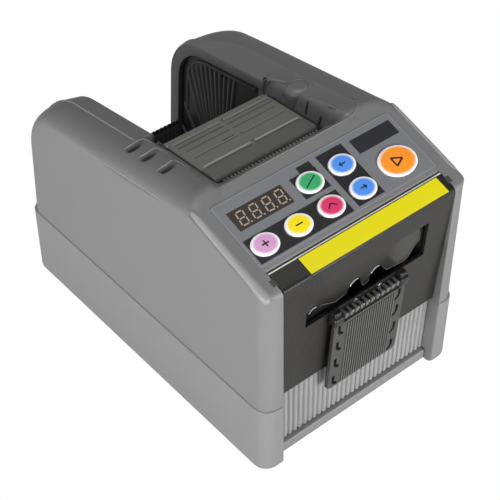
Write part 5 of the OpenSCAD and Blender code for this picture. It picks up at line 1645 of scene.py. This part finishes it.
def liner_fan(side, outline, slot_top):
    """The ribs that fan out over one side wall, the band round them and the slot's edges, in the liner's
    black lifted to grey as painted light.
    """
    fan = Solid(FAN_LIFTED_BLACK)
    for k in range(FAN_COUNT):
        y = FAN_REAR - FAN_PITCH * k
        top = min(z for py, z in outline if abs(py - y) < 3.0 and z > 60) - 6.0
        path = []
        for share in FAN_SHARES:
            path.append((side * (LINER_HALF + 0.5), mix(y, FAN_APEX[0], share), mix(top, FAN_APEX[1], share)))
        fan.tube(path, FAN_RADII, sides=10)
    band = [(side * LINER_HALF, y, z) for y, z in arch(FAN_BAND) if y > FAN_BAND_D and z > FAN_BAND_LOW]
    fan.tube(band, [0.9] * len(band), sides=8)
    for y in SLOT_D:
        fan.tube([(side * LINER_HALF, y, z) for z in (SLOT_LOW, slot_top)], [0.5, 0.5], sides=8)
    fan.finish("liner_fan_left" if side == LEFT else "liner_fan_right", "housing", "liner_black")


def well_liner():
    solid = Solid(LINER_BLACK)
    outline = liner_outline()
    low = LINER_FLOOR - LINER_T
    rear = outline[-2][0]
    rear_face = rear - LINER_T
    slot_top = min(z for y, z in outline if SLOT_D[0] - 0.5 < y < SLOT_D[1] + 0.5 and z > SLOT_LOW) - 8.5
    slot = rounded_rect(SLOT_D[0], SLOT_LOW, SLOT_D[1], slot_top, 1.5)
    for side in SIDES:
        solid.slab(outline, LINER_HALF + LINER_T, LINER_HALF, [slot], edge=0.3, steps=1,
                   lift=lambda y, z, x: (side * x, y, z))
    solid.block((-LINER_HALF, LINER_D, low), (LINER_HALF, rear, LINER_FLOOR), edge=0.3)
    solid.block((-LINER_END_HALF, LINER_D, low), (LINER_END_HALF, LINER_D + LINER_T, LINER_FRONT_H), edge=0.5)
    solid.look = comb_look()
    solid.block((-LINER_END_HALF, rear_face, low), (LINER_END_HALF, rear, LINER_REAR_H), edge=0.5)
    solid.finish("well_liner_look", "housing", "liner_black", ["well_liner"])
    rib = Solid(solid.look)
    line = [(-REAR_RIB_X, rear_face, LINER_FLOOR), (-REAR_RIB_X, rear_face, LINER_REAR_H + 0.5),
            (-REAR_RIB_X, rear_face + 0.2, LINER_REAR_H + 1.5)]
    rib.tube(line, [REAR_RIB_R, REAR_RIB_R, REAR_RIB_R * 0.5])
    rib.repeat("liner_rear_ribs", "housing", "liner_black", REAR_RIBS, 2 * REAR_RIB_X / (REAR_RIBS - 1))
    for side in SIDES:
        liner_fan(side, outline, slot_top)


well_liner()

# Inner pieces: their CAD forms with softened edges

INNER_LOOKS = {
    "screw_steel": STEEL,
    "shaft_steel": STEEL,
    "switch_black": BLACK_PLASTIC,
    "foot_rubber": material("foot_rubber", "#1a1a1a", rough=0.7, drift=0.1),
    "board_green": material("board_green", "#1f6b3a", rough=0.45, drift=0.08),
    "bush_brass": material("bush_brass", "#b98f4d", rough=0.3, drift=0.08, metal=1.0),
    "roller_silicone": material("roller_silicone", "#d8d8d2", rough=0.6, drift=0.04),
    "roller_black": material("roller_black", "#2c2c2c", rough=0.65, drift=0.1),
    "gear_acetal": material("gear_acetal", "#e6e6dc", rough=0.4, drift=0.03),
    "frame_steel": material("frame_steel", "#b4b8bc", rough=0.38, drift=0.08, metal=0.9),
    "motor_case": material("motor_case", "#9a9da1", rough=0.32, drift=0.06, metal=1.0),
    "blade_steel": material("blade_steel", "#77797c", rough=0.52, drift=0.08, metal=1.0),
    "carrier_steel": material("carrier_steel", "#83878c", rough=0.42, drift=0.08, metal=0.9),
    "rocker_red": material("rocker_red", "#b81c1c", rough=0.3, drift=0.05, coat=0.2),
    "display_black": material("display_black", "#2f2a27", drift=0.08),
}
# Body, slot, and the nodes with the width of their softened edges
INNER = (
    ("housing", "foot_rubber", {"feet": 0.8}),
    ("housing", "screw_steel", {"housing_screws": 0.2}),
    ("cover", "screw_steel", {"tray_screws": 0.25}),
    ("cutter", "screw_steel", {"blade_screws": 0.2}),
    ("housing", "shaft_steel", {"guide_pin": 0.2, "tie_bars": 0.2, "idler_pin": 0.15}),
    ("cover", "shaft_steel", {"cover_pins": 0.2, "tray_pin": 0.15}),
    ("feed", "shaft_steel", {"feed_shaft": 0.2}),
    ("press", "shaft_steel", {"press_shaft": 0.2}),
    ("crank", "shaft_steel", {"crank_disc": 0.2}),
    ("housing", "display_black", {"display_module": 0.3}),
    ("housing", "board_green", {"key_board": 0.15, "main_board": 0.15}),
    ("housing", "switch_black", {"key_switches": 0.2, "tape_sensor": 0.3, "power_inlet": 0.2,
                                 "switch_frame": 0.2}),
    ("housing", "frame_steel", {"left_frame": 0.15, "right_frame": 0.15}),
    ("housing", "bush_brass", {"shaft_bushes": 0.12}),
    ("pinion", "bush_brass", {"motor_pinion": 0.1}),
    ("feed", "roller_silicone", {"feed_roller": 0.5}),
    ("press", "roller_black", {"press_roller": 0.4}),
    ("feed", "gear_acetal", {"feed_gear": 0.12}),
    ("idler", "gear_acetal", {"idler_gear": 0.12}),
    ("housing", "motor_case", {"feed_motor": 0.5, "cutter_motor": 0.5}),
    ("cutter", "carrier_steel", {"blade_carrier": 0.2}),
    ("housing", "carrier_steel", {"blade_bed": 0.25}),
    ("cutter", "blade_steel", {"moving_blade": 0.1}),
    ("housing", "blade_steel", {"fixed_blade": 0.1}),
    ("rocker", "rocker_red", {"power_rocker": 0.3}),
)
for inner_body, inner_slot, inner_nodes in INNER:
    for inner_node, inner_edge in inner_nodes.items():
        softened(inner_node, inner_body, INNER_LOOKS[inner_slot], inner_edge)

# Camera: fitted to the photograph's straight edges

PHOTO_SIZE = 500.0
PHOTO_FOCUS = 1379.22
CAMERA_AT = (-345.16, -321.28, 551.69)
CAMERA_BACK = Vector((-0.4705, -0.5595, 0.6823))

scene = bpy.context.scene
scene.view_settings.view_transform = "Standard"
camera_data = bpy.data.cameras.new("camera")
camera_data.sensor_width = 36.0
camera_data.lens = camera_data.sensor_width * PHOTO_FOCUS / PHOTO_SIZE
camera_data.clip_end = 20.0
camera = bpy.data.objects.new("camera", camera_data)
camera.location = to_row(CAMERA_AT)
camera.rotation_euler = CAMERA_BACK.to_track_quat("Z", "Y").to_euler()
scene.collection.objects.link(camera)
scene.camera = camera

# Light: a soft studio with a white surround, in metres

MIDDLE = Vector((0.0, 0.0, 0.07))
WHITE = (1.0, 1.0, 1.0, 1.0)
FLOOR_GREY = (0.8, 0.8, 0.8, 1.0)
FLOOR_HALF = 3
SURROUND = 0.18


def area_light(name, at, size, power):
    data = bpy.data.lights.new(name, "AREA")
    data.shape = "ELLIPSE"
    data.size, data.size_y = size
    data.energy = power
    lamp = bpy.data.objects.new(name, data)
    lamp.location = at
    lamp.rotation_euler = (Vector(at) - MIDDLE).to_track_quat("Z", "Y").to_euler()
    scene.collection.objects.link(lamp)


def show_camera(tree, lit, shown, result):
    """Shows one shader to the camera and leaves another to the other rays."""
    ray = tree.nodes.new("ShaderNodeLightPath")
    pick = tree.nodes.new("ShaderNodeMixShader")
    tree.links.new(ray.outputs["Is Camera Ray"], pick.inputs[0])
    tree.links.new(lit.outputs[0], pick.inputs[1])
    tree.links.new(shown.outputs[0], pick.inputs[2])
    tree.links.new(pick.outputs[0], tree.nodes[result].inputs["Surface"])


def surround():
    world = bpy.data.worlds.new("studio")
    world.use_nodes = True
    scene.world = world
    tree = world.node_tree
    dim = tree.nodes["Background"]
    white = tree.nodes.new("ShaderNodeBackground")
    for shader, strength in ((dim, SURROUND), (white, 1.0)):
        shader.inputs["Color"].default_value = WHITE
        shader.inputs["Strength"].default_value = strength
    show_camera(tree, dim, white, "World Output")


def floor():
    paint = bpy.data.materials.new("floor_white")
    paint.use_nodes = True
    tree = paint.node_tree
    shader = tree.nodes["Principled BSDF"]
    shader.inputs["Base Color"].default_value = FLOOR_GREY
    shader.inputs["Roughness"].default_value = 0.7
    glow = tree.nodes.new("ShaderNodeEmission")
    glow.inputs["Color"].default_value = WHITE
    show_camera(tree, shader, glow, "Material Output")
    mesh = bpy.data.meshes.new("floor")
    corners = [(x * FLOOR_HALF, y * FLOOR_HALF, 0) for x, y in ((-1, -1), (1, -1), (1, 1), (-1, 1))]
    mesh.from_pydata(corners, [], [(0, 1, 2, 3)])
    mesh.materials.append(paint)
    obj = bpy.data.objects.new("floor", mesh)
    scene.collection.objects.link(obj)


area_light("front", (0.22, -1.33, 0.3), (0.7, 0.5), 18.5)
area_light("left", (-1.33, -0.2, 0.14), (0.9, 0.24), 17.6)
area_light("above", (-0.1, 0.1, 1.6), (1.0, 1.0), 8.8)
surround()
floor()
